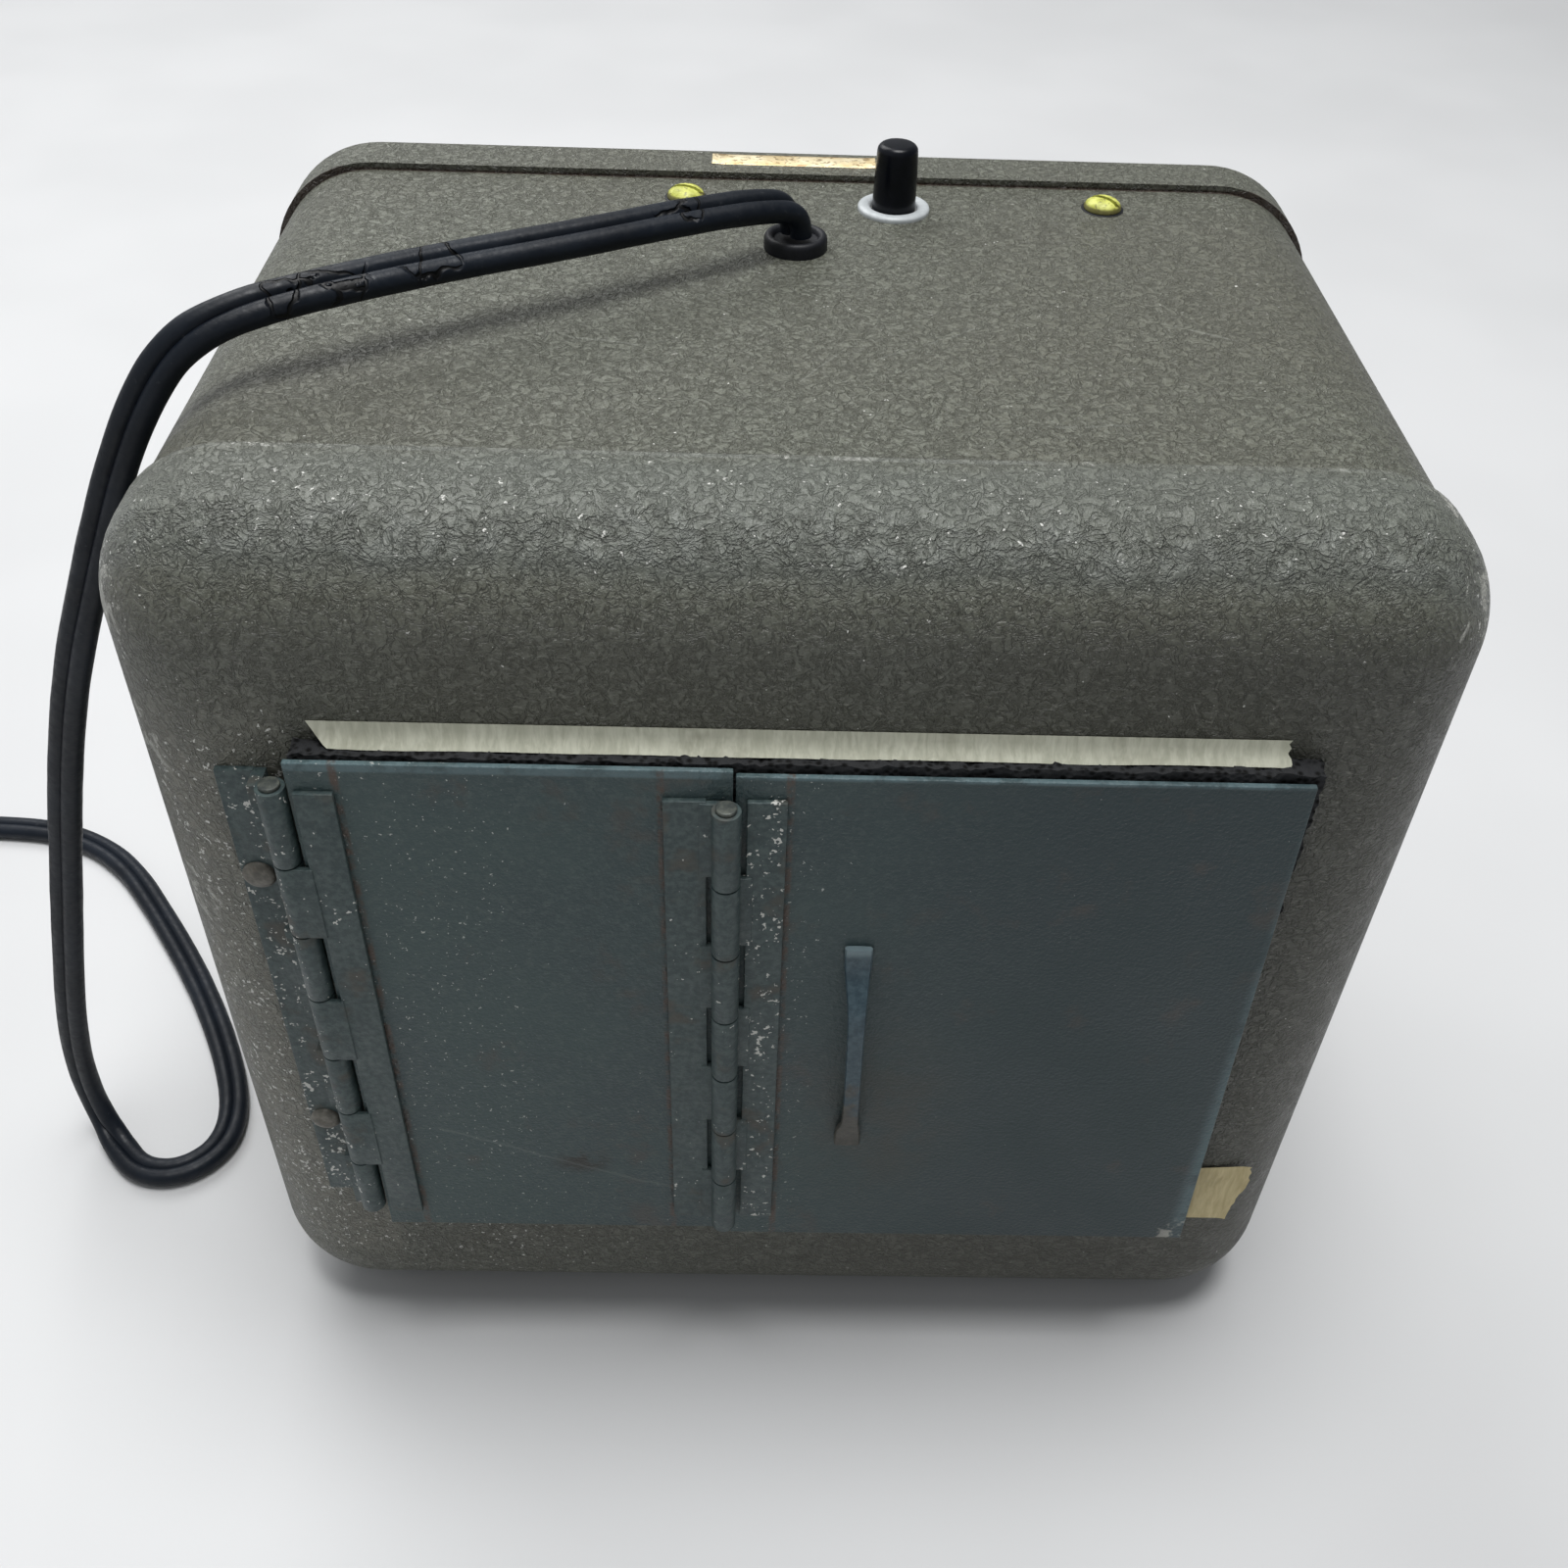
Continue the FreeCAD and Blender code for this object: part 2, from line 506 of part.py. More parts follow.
def gear(teeth, depth, start, centre, tooth_angle):
    """A spur gear with straight-flanked teeth and running backlash, one tooth at an angle."""
    pitch = module * teeth / 2
    flank = ((pitch - 1.3 * module, 0.92), (pitch, 0.60), (pitch + 0.85 * module, 0.30))
    outline = []
    for tooth in range(int(teeth)):
        middle = math.radians(tooth_angle) + 2 * math.pi * tooth / teeth
        for radius, half in flank:
            outline.append((radius, middle - half * module / radius))
        for radius, half in reversed(flank):
            outline.append((radius, middle + half * module / radius))
    points = [(radius * math.cos(turn), radius * math.sin(turn)) for radius, turn in outline]
    return along_y(points, depth, start, centre)


def bored(shape, radius, centre):
    return shape.cut(disc(radius, 400, -200, centre))


first_y, second_y = size("first_gear_y"), size("second_gear_y")
gear_width, pinion_width = size("gear_width"), size("pinion_width")
back = 180
idler_to_output = size("idler_angle") - back
output_tooth = size("idler_angle")
pinion_tooth = idler_to_output + back / size("idler_pinion_teeth")
idler_tooth = size("motor_angle")
motor_tooth = size("motor_angle") - back + back / size("motor_teeth")
hub_radius = size("idler_shaft") + 2.5
idler_body = gear(size("idler_teeth"), gear_width, first_y, IDLER, idler_tooth)
idler_hub = disc(hub_radius, second_y - first_y - gear_width, first_y + gear_width, IDLER)
idler_body = idler_body.fuse(idler_hub)
idler_body = idler_body.fuse(
    gear(size("idler_pinion_teeth"), pinion_width, second_y - 1, IDLER, pinion_tooth))
idler_bore = size("idler_shaft") + size("shaft_fit")
node("idler_gear", solid("idler", bored(idler_body, idler_bore, IDLER).removeSplitter()))

output_gear = gear(size("output_teeth"), gear_width, second_y, OUTPUT, output_tooth)
output_gear = output_gear.fuse(disc(13, gear_width + 5, second_y, OUTPUT))
web_holes = [disc(5.5, 40, second_y - 5, around(OUTPUT, 21, 60 * turn)) for turn in range(6)]
for hole in web_holes:
    output_gear = output_gear.cut(hole)
node("output_gear", solid("output_wheel", bored(output_gear, size("output_shaft"), OUTPUT)))

sprocket_radius = size("sprocket_pitch") / 2 / math.sin(math.pi / size("sprocket_teeth"))
sprocket_y, sprocket_thick = size("sprocket_y"), size("sprocket_thick")
tip, seat_radius = size("tooth_tip"), size("roller_seat")
sprocket = disc(sprocket_radius + tip, sprocket_thick, sprocket_y, OUTPUT)
for tooth in range(int(size("sprocket_teeth"))):
    angle = 360 * (tooth + 0.5) / size("sprocket_teeth")
    seat = around(OUTPUT, sprocket_radius, angle)
    mouth = around(OUTPUT, sprocket_radius + seat_radius, angle)
    sprocket = sprocket.cut(disc(seat_radius, 20, sprocket_y - 5, seat))
    sprocket = sprocket.cut(disc(seat_radius + 0.3, 20, sprocket_y - 5, mouth))
sprocket = sprocket.fuse(disc(11, 4, sprocket_y + sprocket_thick, OUTPUT))
node("output_sprocket", solid("sprocket", bored(sprocket, size("output_shaft"), OUTPUT)))

node("output_shaft", fuse(
    rod("output_shaft", "shaft_step - rear_plate_y", ("output_x", "rear_plate_y", "output_z"), BACK),
    rod("shaft_stub", "shaft_end - shaft_step", ("output_x", "shaft_step", "output_z"), BACK)))
cam = disc(14, 3, 40, OUTPUT).cut(disc(5, 10, 37, around(OUTPUT, 17, 40)))
node("limit_cam", solid("cam", bored(cam, size("output_shaft"), OUTPUT)))

bush_outer = size("output_shaft") + size("bush_wall")
plate_span = size("plate_right") - size("plate_left")
plate_low = size("plate_low")


def gear_plate(start, high, holes):
    depth = size("gear_plate")
    foot = FreeCAD.Vector(size("plate_left"), start, plate_low)
    plate = Part.makeBox(plate_span, depth, high - plate_low, foot)
    for centre, radius in holes:
        plate = plate.cut(disc(radius, 40, start - 20, centre))
    return plate


rear_y, front_y = size("rear_plate_y"), size("front_plate_y")
motor_shaft, idler_shaft = size("motor_shaft"), size("idler_shaft")
rear_holes = ((OUTPUT, bush_outer), (IDLER, idler_shaft), (MOTOR, motor_shaft + 5))
front_holes = ((OUTPUT, bush_outer), (IDLER, idler_shaft))
node("rear_gear_plate", solid("rear_frame", gear_plate(rear_y, size("plate_high"), rear_holes)))
node("front_gear_plate",
     solid("front_frame", gear_plate(front_y, size("front_plate_high"), front_holes)))

spacer_spots = [(size("plate_left") + 7, 14), (size("plate_right") - 7, 14),
                (size("plate_left") + 7, 105), (size("plate_right") - 7, 105)]
gap = front_y - rear_y - size("gear_plate")
spacer_y = rear_y + size("gear_plate")
spacers = [solid("spacer", disc(4, gap, spacer_y, spot)) for spot in spacer_spots]
node("plate_spacers", group(*spacers))


def shaft_bush(start, depth):
    body = disc(bush_outer, depth, start, OUTPUT)
    return bored(body, size("output_shaft") + size("shaft_fit"), OUTPUT)


axle_length = front_y + size("gear_plate") - rear_y
node("idler_axle", solid("axle", disc(idler_shaft, axle_length, rear_y, IDLER)))

motor_y, motor_length, cap = size("motor_start"), size("motor_length"), size("motor_cap")
motor_radius, wall = size("motor_radius"), size("motor_wall")
can = disc(motor_radius, motor_length - 2 * cap, motor_y + cap, MOTOR)
node("motor_can", solid("can", bored(can, motor_radius - wall, MOTOR)))
bell = bored(disc(motor_radius, cap, motor_y, MOTOR), motor_shaft + 3, MOTOR)
for turn in range(8):
    bell = bell.cut(disc(4, 20, motor_y - 5, around(MOTOR, 21, 45 * turn)))
flange = disc(motor_radius, cap, motor_y + motor_length - cap, MOTOR)
node("motor_end_bells", group(solid("outer_bell", bell),
                              solid("drive_bell", bored(flange, motor_shaft + 3, MOTOR))))
bush_bore = motor_shaft + size("shaft_fit")
outer_bush = disc(motor_shaft + 3, cap + 2, motor_y, MOTOR)
drive_bush = disc(motor_shaft + 3, cap + 2, motor_y + motor_length - cap - 2, MOTOR)
node("shaft_bushes", group(
    solid("rear_bush", shaft_bush(rear_y, size("gear_plate"))),
    solid("front_bush", shaft_bush(front_y, size("gear_plate") + 4)),
    solid("outer_ring", bored(outer_bush, bush_bore, MOTOR)),
    solid("drive_ring", bored(drive_bush, bush_bore, MOTOR))))
winding = disc(motor_radius - wall, 24, size("rotor_start") + 2, MOTOR)
node("stator_winding", solid("winding", bored(winding, size("winding_inner") + 0.5, MOTOR)))
rotor = disc(size("rotor_radius"), size("rotor_length"), size("rotor_start"), MOTOR)
shaft_tip = first_y + pinion_width + 1
rotor = rotor.fuse(disc(motor_shaft, shaft_tip - motor_y + 4, motor_y - 4, MOTOR))
node("motor_rotor", solid("rotor", rotor))
pinion = gear(size("motor_teeth"), pinion_width, first_y - 1, MOTOR, motor_tooth)
node("motor_pinion", solid("pinion", bored(pinion, motor_shaft, MOTOR)))
fan = disc(7, 5, size("fan_y"), MOTOR)
for turn in range(6):
    blade = Part.makeBox(size("fan_radius") - 5, 4, 1.2,
                         FreeCAD.Vector(MOTOR[0] + 5, size("fan_y") + 0.5, MOTOR[1] - 0.6))
    blade.rotate(FreeCAD.Vector(MOTOR[0], 0, MOTOR[1]), FreeCAD.Vector(0, 1, 0), 60 * turn)
    fan = fan.fuse(blade)
node("motor_fan", solid("fan", bored(fan, motor_shaft, MOTOR)))

# ---------------------------------------------------------------- control gear

core = box(("trans_width", "trans_depth", "trans_height"), ("trans_x", "trans_y", TRAY_TOP))
core_hole = box(("trans_width - 16", "trans_depth + 2", "trans_height - 16"),
                ("trans_x + 8", "trans_y - 1", TRAY_TOP + " + 8"))
limb = box(("10", "trans_depth", "trans_height"),
           ("trans_x + trans_width / 2 - 5", "trans_y", TRAY_TOP))
node("transformer_core", fuse(cut(core, core_hole), limb))
coil_block = box(("trans_width - 17", "trans_depth + 10", "trans_height - 17"),
                 ("trans_x + 8.5", "trans_y - 5", TRAY_TOP + " + 8.5"))
node("transformer_coil", cut(coil_block, limb))

pivot = ("relay_y + relay_length - 3", TRAY_TOP + " + relay_pivot")
relay_foot = box(("relay_width", "relay_length", "2"), ("relay_x", "relay_y", TRAY_TOP))
relay_post = box(("relay_width", "2", "relay_pivot + 2"),
                 ("relay_x", "relay_y + relay_length - 2", TRAY_TOP))
relay_coil = rod("7", "relay_pivot - 5.2",
                 ("relay_x + relay_width / 2", "relay_y + 10", TRAY_TOP + " + 2"))
ears = [box(("ear_thick", "4", "4"),
            (left, "relay_y + relay_length - 5", TRAY_TOP + " + relay_pivot - 2"))
        for left in ("relay_x", "relay_x + relay_width - ear_thick")]
pivot_bore = rod("pivot_radius + pin_fit", "2 * relay_width", ("relay_x - 5", *pivot), RIGHT)
node("control_relay", cut(fuse(relay_foot, relay_post, relay_coil, *ears), pivot_bore))
armature = box(("relay_width - 2 * ear_thick - 0.4", "relay_length - 3.6", "1.2"),
               ("relay_x + ear_thick + 0.2", "relay_y + 0.6", TRAY_TOP + " + relay_pivot - 0.6"))
armature_pin = rod("pivot_radius", "relay_width", ("relay_x", *pivot), RIGHT)
node("relay_armature", fuse(armature, armature_pin))

node("run_capacitor", rod("cap_radius", "cap_height", ("cap_x", "cap_y", TRAY_TOP)))

strip = box(("19", "strip_length", "9"), ("strip_x", "strip_y", TRAY_TOP))
node("terminal_strip", strip)
heads = [rod("2.6", "2", ("strip_x + %d" % side, "strip_y + %d" % step, TRAY_TOP + " + 9"))
         for side in (5, 15) for step in (6, 17, 28, 38)]
node("terminal_screws", group(*heads))

shelf = box(("shelf_length", "shelf_depth", "1.5"),
            ("shelf_left", "rear_plate_y - shelf_depth", "shelf_z"))
shelf_flange = box(("shelf_length", "1.5", "12"),
                   ("shelf_left", "rear_plate_y - 1.5", "shelf_z - 12"))
node("receiver_shelf", fuse(shelf, shelf_flange))
valve_spots = [("shelf_left + %d" % across, "rear_plate_y - 20") for across in (13, 34, 55)]
node("valve_sockets", group(*[rod("valve_radius + 0.8", "5", (across, along, "shelf_z + 1.5"))
                              for across, along in valve_spots]))
node("receiver_valves", group(*[rod("valve_radius", "valve_rise", (across, along, "shelf_z + 6.5"))
                                for across, along in valve_spots]))

bracket = box(("screw_right_x - screw_left_x + 18", "22", "1.4"),
              ("screw_left_x - 9", "screw_y - 14", SKIN_TOP + " - shell_wall - 1.5"))
bracket_leg = box(("20", "1.4", "30"),
                  ("button_x - 10", "screw_y - 14", SKIN_TOP + " - shell_wall - 31.5"))
node("top_bracket", cut(fuse(bracket, bracket_leg), *top_holes))
node("button_switch", box(("18", "16", "11"), ("button_x - 9", "screw_y - 12.5",
                                              SKIN_TOP + " - shell_wall - 31.5")))

socket = rod("9", "22", ("-66", "lamp_y", "lamp_z"), RIGHT)
socket_leg = box(("14", "3", "34.4"), ("-62", "lamp_y - 1.5", "lamp_z + 5"))
node("lamp_socket", fuse(socket, socket_leg))
bulb_ball = doc.addObject("Part::Sphere", "bulb_ball")
bulb_ball.setExpression("Radius", bound("lamp_radius"))
put(bulb_ball, ("-20", "lamp_y", "lamp_z"))
bulb_neck = cone("6", "9", "18", ("-44", "lamp_y", "lamp_z"), RIGHT)
node("lamp_bulb", fuse(bulb_neck, bulb_ball))

node("limit_switch", box(("20", "8", "12"), ("output_x - 10", "37", "output_z - 14.6 - 12.4")))

# ---------------------------------------------------------------- power cord

# Hand-laid route from the grommet, over the left edge, down to the table and round.
cord_start = size("casing_height") - size("shell_wall") - size("lap_gap") + size("grommet_rise")
CORD_ROUTE = [
    (size("grommet_x"), size("grommet_y"), cord_start + 0.05),
    (size("grommet_x"), size("grommet_y"), cord_start + 4.65),
    (-7.5, 20.5, 200.3), (-20, 12.5, 201.2), (-36, 2, 201.7), (-56, -9, 202),
    (-73, -21, 202.6), (-84.5, -27, 201.4), (-92.5, -30, 197.5), (-99.3, -31.5, 188.5),
    (-106, -32, 176), (-114, -32.5, 158), (-123, -31.5, 137), (-131.5, -29.5, 112),
    (-139, -28, 85), (-145, -27.5, 62), (-150, -27, 42), (-153, -26.3, 26),
    (-153.5, -26.5, 14), (-151.5, -28.5, 6), (-147.5, -33.5, 2.6), (-141, -39.8, 2.6),
    (-132, -40, 2.6), (-124.7, -33.5, 2.6), (-124, -23, 2.6), (-129.5, -8, 2.6),
    (-141, 13, 2.6), (-156.5, 35.5, 2.6), (-174, 58, 2.6), (-192, 68, 2.6), (-210, 70, 2.6),
    (-235, 69.5, 2.6), (-256, 69, 2.6),
]


def tube_along(points, radius):
    """Straight runs joined by tangent arcs, each as large as its two runs allow."""
    points = [FreeCAD.Vector(*point) for point in points]
    edges = []
    start = points[0]
    for before, here, after in zip(points, points[1:], points[2:]):
        into = here - before
        out = after - here
        turn = into.getAngle(out)
        reach = 0.45 * min(into.Length, out.Length)
        into.normalize()
        out.normalize()
        arc_start = here - into * reach
        arc_end = here + out * reach
        to_centre = out - into
        to_centre.normalize()
        centre = here + to_centre * (reach / math.sin(turn / 2))
        middle = centre - to_centre * (reach / math.tan(turn / 2))
        edges.append(Part.LineSegment(start, arc_start).toShape())
        edges.append(Part.Arc(arc_start, middle, arc_end).toShape())
        start = arc_end
    edges.append(Part.LineSegment(start, points[-1]).toShape())
    wire = Part.Wire(edges)
    heading = points[1] - points[0]
    section = Part.Wire(Part.makeCircle(radius, points[0], heading))
    pipe = wire.makePipeShell([section], True, False)
    whole = pipe.Volume / (math.pi * radius ** 2 * wire.Length)
    print("cord length", round(wire.Length, 1), "volume ratio", round(whole, 4))
    return pipe


node("power_cord", solid("cord", tube_along(CORD_ROUTE, size("cord_radius"))))

coil_ring = ring("coil_outer", "coil_inner", "coil_height", ("coil_x", "coil_y", "coil_lift"))
node("cord_coil", coil_ring)

plug_low = "coil_height + coil_lift"
plug_y = "coil_y - (coil_inner + coil_outer) / 2"
plug_body = box(("plug_length", "plug_width", "plug_height"),
                ("coil_x - plug_length / 2", plug_y + " - plug_width / 2", plug_low))
blades = [box(("blade_length", "blade_thick", "blade_width"),
              ("coil_x + plug_length / 2",
               plug_y + side + "blade_spread / 2 - blade_thick / 2",
               plug_low + " + (plug_height - blade_width) / 2"))
          for side in (" - ", " + ")]
node("cord_plug", fuse(plug_body, *blades))

doc.recompute()
os.makedirs("parts", exist_ok=True)
for thing in doc.Objects:
    assert not {"Invalid", "Error"} & set(thing.State), (thing.Label, thing.State)
for thing in NODES:
    assert not thing.Shape.isNull() and thing.Shape.isValid(), thing.Label
    thing.Shape.exportStep("parts/%s.step" % thing.Label)
print(len(NODES), "nodes")
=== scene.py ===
import math

import bmesh
import bpy
from mathutils import Matrix, Vector, noise


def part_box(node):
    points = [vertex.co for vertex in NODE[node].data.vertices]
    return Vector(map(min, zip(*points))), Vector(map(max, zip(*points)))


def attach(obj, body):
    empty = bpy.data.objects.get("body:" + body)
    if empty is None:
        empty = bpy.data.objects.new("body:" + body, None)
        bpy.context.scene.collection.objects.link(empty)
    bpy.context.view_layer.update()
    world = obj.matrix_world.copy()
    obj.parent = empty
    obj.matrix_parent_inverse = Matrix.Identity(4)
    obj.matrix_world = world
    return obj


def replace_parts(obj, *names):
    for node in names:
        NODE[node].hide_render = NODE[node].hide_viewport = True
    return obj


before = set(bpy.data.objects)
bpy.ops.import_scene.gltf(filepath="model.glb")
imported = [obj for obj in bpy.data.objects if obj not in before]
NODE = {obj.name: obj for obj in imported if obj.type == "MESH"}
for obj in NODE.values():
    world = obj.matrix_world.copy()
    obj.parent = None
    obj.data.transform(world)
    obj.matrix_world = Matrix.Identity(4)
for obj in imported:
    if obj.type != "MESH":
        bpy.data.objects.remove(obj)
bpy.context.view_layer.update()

# A painted cabinet with a folding service door, its push button and its flat lead.
# Lengths are in metres; MM turns millimetres into them.

MM = 0.001
SCENE = bpy.context.scene
SCENE.view_settings.view_transform = "Standard"

# The camera that was fitted to the photograph: degrees, millimetres and millimetres of lens.
CAMERA_YAW, CAMERA_PITCH, CAMERA_ROLL = 1.694, 42.053, -2.263
CAMERA_PLACE = (-6.9, -245.6, 308.3)
CAMERA_LENS = 36.48

SHARP_ANGLE = math.radians(42)   # faces that meet more steeply keep a hard edge


def mm(*values):
    return Vector([value * MM for value in values])


# ------------------------------------------------------------------ camera

def place_camera():
    """The photograph's view: above the door side, looking down at the cabinet."""
    yaw, pitch, roll = (math.radians(turn) for turn in
                        (CAMERA_YAW, CAMERA_PITCH, CAMERA_ROLL))
    ahead = Vector((math.sin(yaw) * math.cos(pitch), math.cos(yaw) * math.cos(pitch),
                    -math.sin(pitch)))
    level = Vector((math.cos(yaw), -math.sin(yaw), 0))
    below = ahead.cross(level)
    right = level * math.cos(roll) + below * math.sin(roll)
    down = below * math.cos(roll) - level * math.sin(roll)
    camera = bpy.data.objects.new("camera", bpy.data.cameras.new("camera"))
    camera.data.lens = CAMERA_LENS
    camera.data.clip_start = 0.01
    turn = Matrix((right, -down, -ahead)).transposed().to_4x4()
    camera.matrix_world = Matrix.Translation(mm(*CAMERA_PLACE)) @ turn
    SCENE.collection.objects.link(camera)
    SCENE.camera = camera


place_camera()

# ------------------------------------------------------------------ material kit


class Shade:
    """One node material, with short names for the nodes it is built from."""

    def __init__(self, name, metallic=0.0, specular=0.5):
        self.material = bpy.data.materials.new(name)
        self.material.use_nodes = True
        self.tree = self.material.node_tree
        self.tree.nodes.clear()
        output = self.add("ShaderNodeOutputMaterial")
        self.bsdf = self.add("ShaderNodeBsdfPrincipled")
        self.tree.links.new(self.bsdf.outputs[0], output.inputs[0])
        self.bsdf.inputs["Metallic"].default_value = metallic
        self.bsdf.inputs["Specular IOR Level"].default_value = specular
        self.place = self.add("ShaderNodeTexCoord").outputs["Object"]
        split = self.add("ShaderNodeSeparateXYZ")
        self.wire(self.place, split.inputs[0])
        self.x, self.y, self.z = split.outputs

    def add(self, kind, **settings):
        made = self.tree.nodes.new(kind)
        for name, value in settings.items():
            setattr(made, name, value)
        return made

    def wire(self, value, socket):
        if isinstance(value, bpy.types.NodeSocket):
            self.tree.links.new(value, socket)
        elif isinstance(value, (tuple, list)) and len(value) == 3 and socket.type == "RGBA":
            socket.default_value = (*value, 1)
        else:
            socket.default_value = value

    def math(self, operation, first, second=0.0):
        made = self.add("ShaderNodeMath", operation=operation)
        self.wire(first, made.inputs[0])
        self.wire(second, made.inputs[1])
        return made.outputs[0]

    def times(self, first, second):
        return self.math("MULTIPLY", first, second)

    def plus(self, first, second):
        return self.math("ADD", first, second)

    def either(self, first, *others):
        """The strongest of several values."""
        for other in others:
            first = self.math("MAXIMUM", first, other)
        return first

    def noise(self, scale, detail=2.0, rough=0.5, twist=0.0, at=None):
        made = self.add("ShaderNodeTexNoise")
        self.wire(at or self.place, made.inputs["Vector"])
        made.inputs["Scale"].default_value = scale
        made.inputs["Detail"].default_value = detail
        made.inputs["Roughness"].default_value = rough
        made.inputs["Distortion"].default_value = twist
        return made.outputs["Fac"]

    def wobble(self, scale, detail, reach):
        """Noise about zero, half of reach to either side."""
        return self.times(self.plus(self.noise(scale, detail), -0.5), reach)

    def cells(self, scale, feature="F1", at=None):
        made = self.add("ShaderNodeTexVoronoi", feature=feature)
        self.wire(at or self.place, made.inputs["Vector"])
        made.inputs["Scale"].default_value = scale
        return made.outputs["Distance"]

    def stretched(self, x=1.0, y=1.0, z=1.0):
        made = self.add("ShaderNodeMapping")
        self.wire(self.place, made.inputs["Vector"])
        made.inputs["Scale"].default_value = (x, y, z)
        return made.outputs[0]

    def warped(self, reach, scale):
        """The object's place, pushed about by noise."""
        push = self.add("ShaderNodeTexNoise")
        self.wire(self.place, push.inputs["Vector"])
        push.inputs["Scale"].default_value = scale
        scaled = self.add("ShaderNodeVectorMath", operation="MULTIPLY_ADD")
        self.wire(push.outputs["Color"], scaled.inputs[0])
        scaled.inputs[1].default_value = (reach, reach, reach)
        self.wire(self.place, scaled.inputs[2])
        return scaled.outputs[0]

    def scratch(self, start, length, slope):
        """A thin broken line on the top of the object, in millimetres."""
        run = self.plus(self.x, -start[0] * MM)
        along = self.between(run, 0.0, length * MM, 0.004)
        drift = self.plus(self.times(run, slope), start[1] * MM)
        away = self.plus(self.y, self.times(drift, -1))
        away = self.math("ABSOLUTE", self.plus(away, self.wobble(90, 2, 0.002)))
        along = self.times(along, self.band(self.z, 0.1880, 0.1895))
        line = self.times(self.band(away, 0.00012, 0.0004, 1.0, 0.0), along)
        return self.times(line, self.band(self.noise(260, 2), 0.42, 0.58))

    def band(self, value, low, high, start=0.0, end=1.0):
        """0 below low, 1 above high, smooth between."""
        made = self.add("ShaderNodeMapRange", interpolation_type="SMOOTHSTEP")
        self.wire(value, made.inputs["Value"])
        made.inputs["From Min"].default_value = low
        made.inputs["From Max"].default_value = high
        made.inputs["To Min"].default_value = start
        made.inputs["To Max"].default_value = end
        return made.outputs[0]

    def between(self, value, low, high, soft):
        rise = self.band(value, low - soft, low)
        fall = self.band(value, high, high + soft, 1.0, 0.0)
        return self.times(rise, fall)

    def near(self, centre, radius, stretch=(1.0, 1.0, 1.0)):
        """1 at a place on the object, fading to 0 at the radius, all in millimetres."""
        away = self.add("ShaderNodeVectorMath", operation="SUBTRACT")
        self.wire(self.place, away.inputs[0])
        away.inputs[1].default_value = mm(*centre)
        scaled = self.add("ShaderNodeVectorMath", operation="MULTIPLY")
        self.wire(away.outputs[0], scaled.inputs[0])
        scaled.inputs[1].default_value = stretch
        length = self.add("ShaderNodeVectorMath", operation="LENGTH")
        self.wire(scaled.outputs[0], length.inputs[0])
        return self.band(length.outputs["Value"], 0.2 * radius * MM, radius * MM, 1.0, 0.0)

    def near_any(self, *places):
        """The strongest of several patches, each given by its centre and radius."""
        return self.either(*(self.near(centre, radius) for centre, radius in places))

    def mix(self, amount, first, second):
        made = self.add("ShaderNodeMix", data_type="RGBA")
        self.wire(amount, made.inputs[0])
        self.wire(first, made.inputs[6])
        self.wire(second, made.inputs[7])
        return made.outputs[2]

    def bump(self, height, depth):
        """Relief from a height of about 0 to 1, its depth in millimetres."""
        made = self.add("ShaderNodeBump")
        made.inputs["Distance"].default_value = depth * MM
        made.inputs["Strength"].default_value = 1.0
        self.wire(height, made.inputs["Height"])
        self.tree.links.new(made.outputs[0], self.bsdf.inputs["Normal"])

    def finish(self, colour, rough):
        self.wire(colour, self.bsdf.inputs["Base Color"])
        self.wire(rough, self.bsdf.inputs["Roughness"])
        return self.material


# ------------------------------------------------------------------ mesh kit

def new_mesh(name, verts, faces, material, body):
    """A mesh object from plain lists, riding on a body."""
    mesh = bpy.data.meshes.new(name)
    mesh.from_pydata([tuple(vert) for vert in verts], [], faces)
    mesh.validate()
    tidy_normals(mesh)
    return adopt(mesh, name, material, body)


def tidy_normals(mesh):
    work = bmesh.new()
    work.from_mesh(mesh)
    bmesh.ops.recalc_face_normals(work, faces=work.faces)
    work.to_mesh(mesh)
    work.free()


def adopt(mesh, name, material, body):
    """A mesh as an object with its finish, riding on a body."""
    thing = bpy.data.objects.new(name, mesh)
    SCENE.collection.objects.link(thing)
    mesh.materials.clear()
    mesh.materials.append(material)
    mesh.shade_smooth()
    mesh.set_sharp_from_angle(angle=SHARP_ANGLE)
    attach(thing, body)
    return thing


def settle(thing):
    """Apply every modifier on a piece."""
    graph = bpy.context.evaluated_depsgraph_get()
    done = bpy.data.meshes.new_from_object(thing.evaluated_get(graph))
    thing.modifiers.clear()
    thing.data = done


def lathe(name, outline, centre, material, body, axis=(0, 0, 1), steps=56):
    """A solid of revolution: (radius, height) pairs in millimetres about an axis."""
    turn = Vector((0, 0, 1)).rotation_difference(Vector(axis))
    verts, rings = [], []
    for radius, height in outline:
        if radius == 0:
            rings.append([len(verts)])
            verts.append(Vector((0, 0, height * MM)))
            continue
        rings.append(list(range(len(verts), len(verts) + steps)))
        for step in range(steps):
            angle = 2 * math.pi * step / steps
            verts.append(Vector((radius * MM * math.cos(angle), radius * MM * math.sin(angle),
                                 height * MM)))
    faces = []
    pairs = list(zip(rings, rings[1:]))
    if len(rings[0]) > 1 and len(rings[-1]) > 1:
        pairs.append((rings[-1], rings[0]))
    for low, high in pairs:
        for step in range(steps):
            after = (step + 1) % steps
            if len(low) == 1:
                faces.append((low[0], high[after], high[step]))
            elif len(high) == 1:
                faces.append((low[step], low[after], high[0]))
            else:
                faces.append((low[step], low[after], high[after], high[step]))
    verts = [turn @ vert + Vector(centre) for vert in verts]
    return new_mesh(name, verts, faces, material, body)


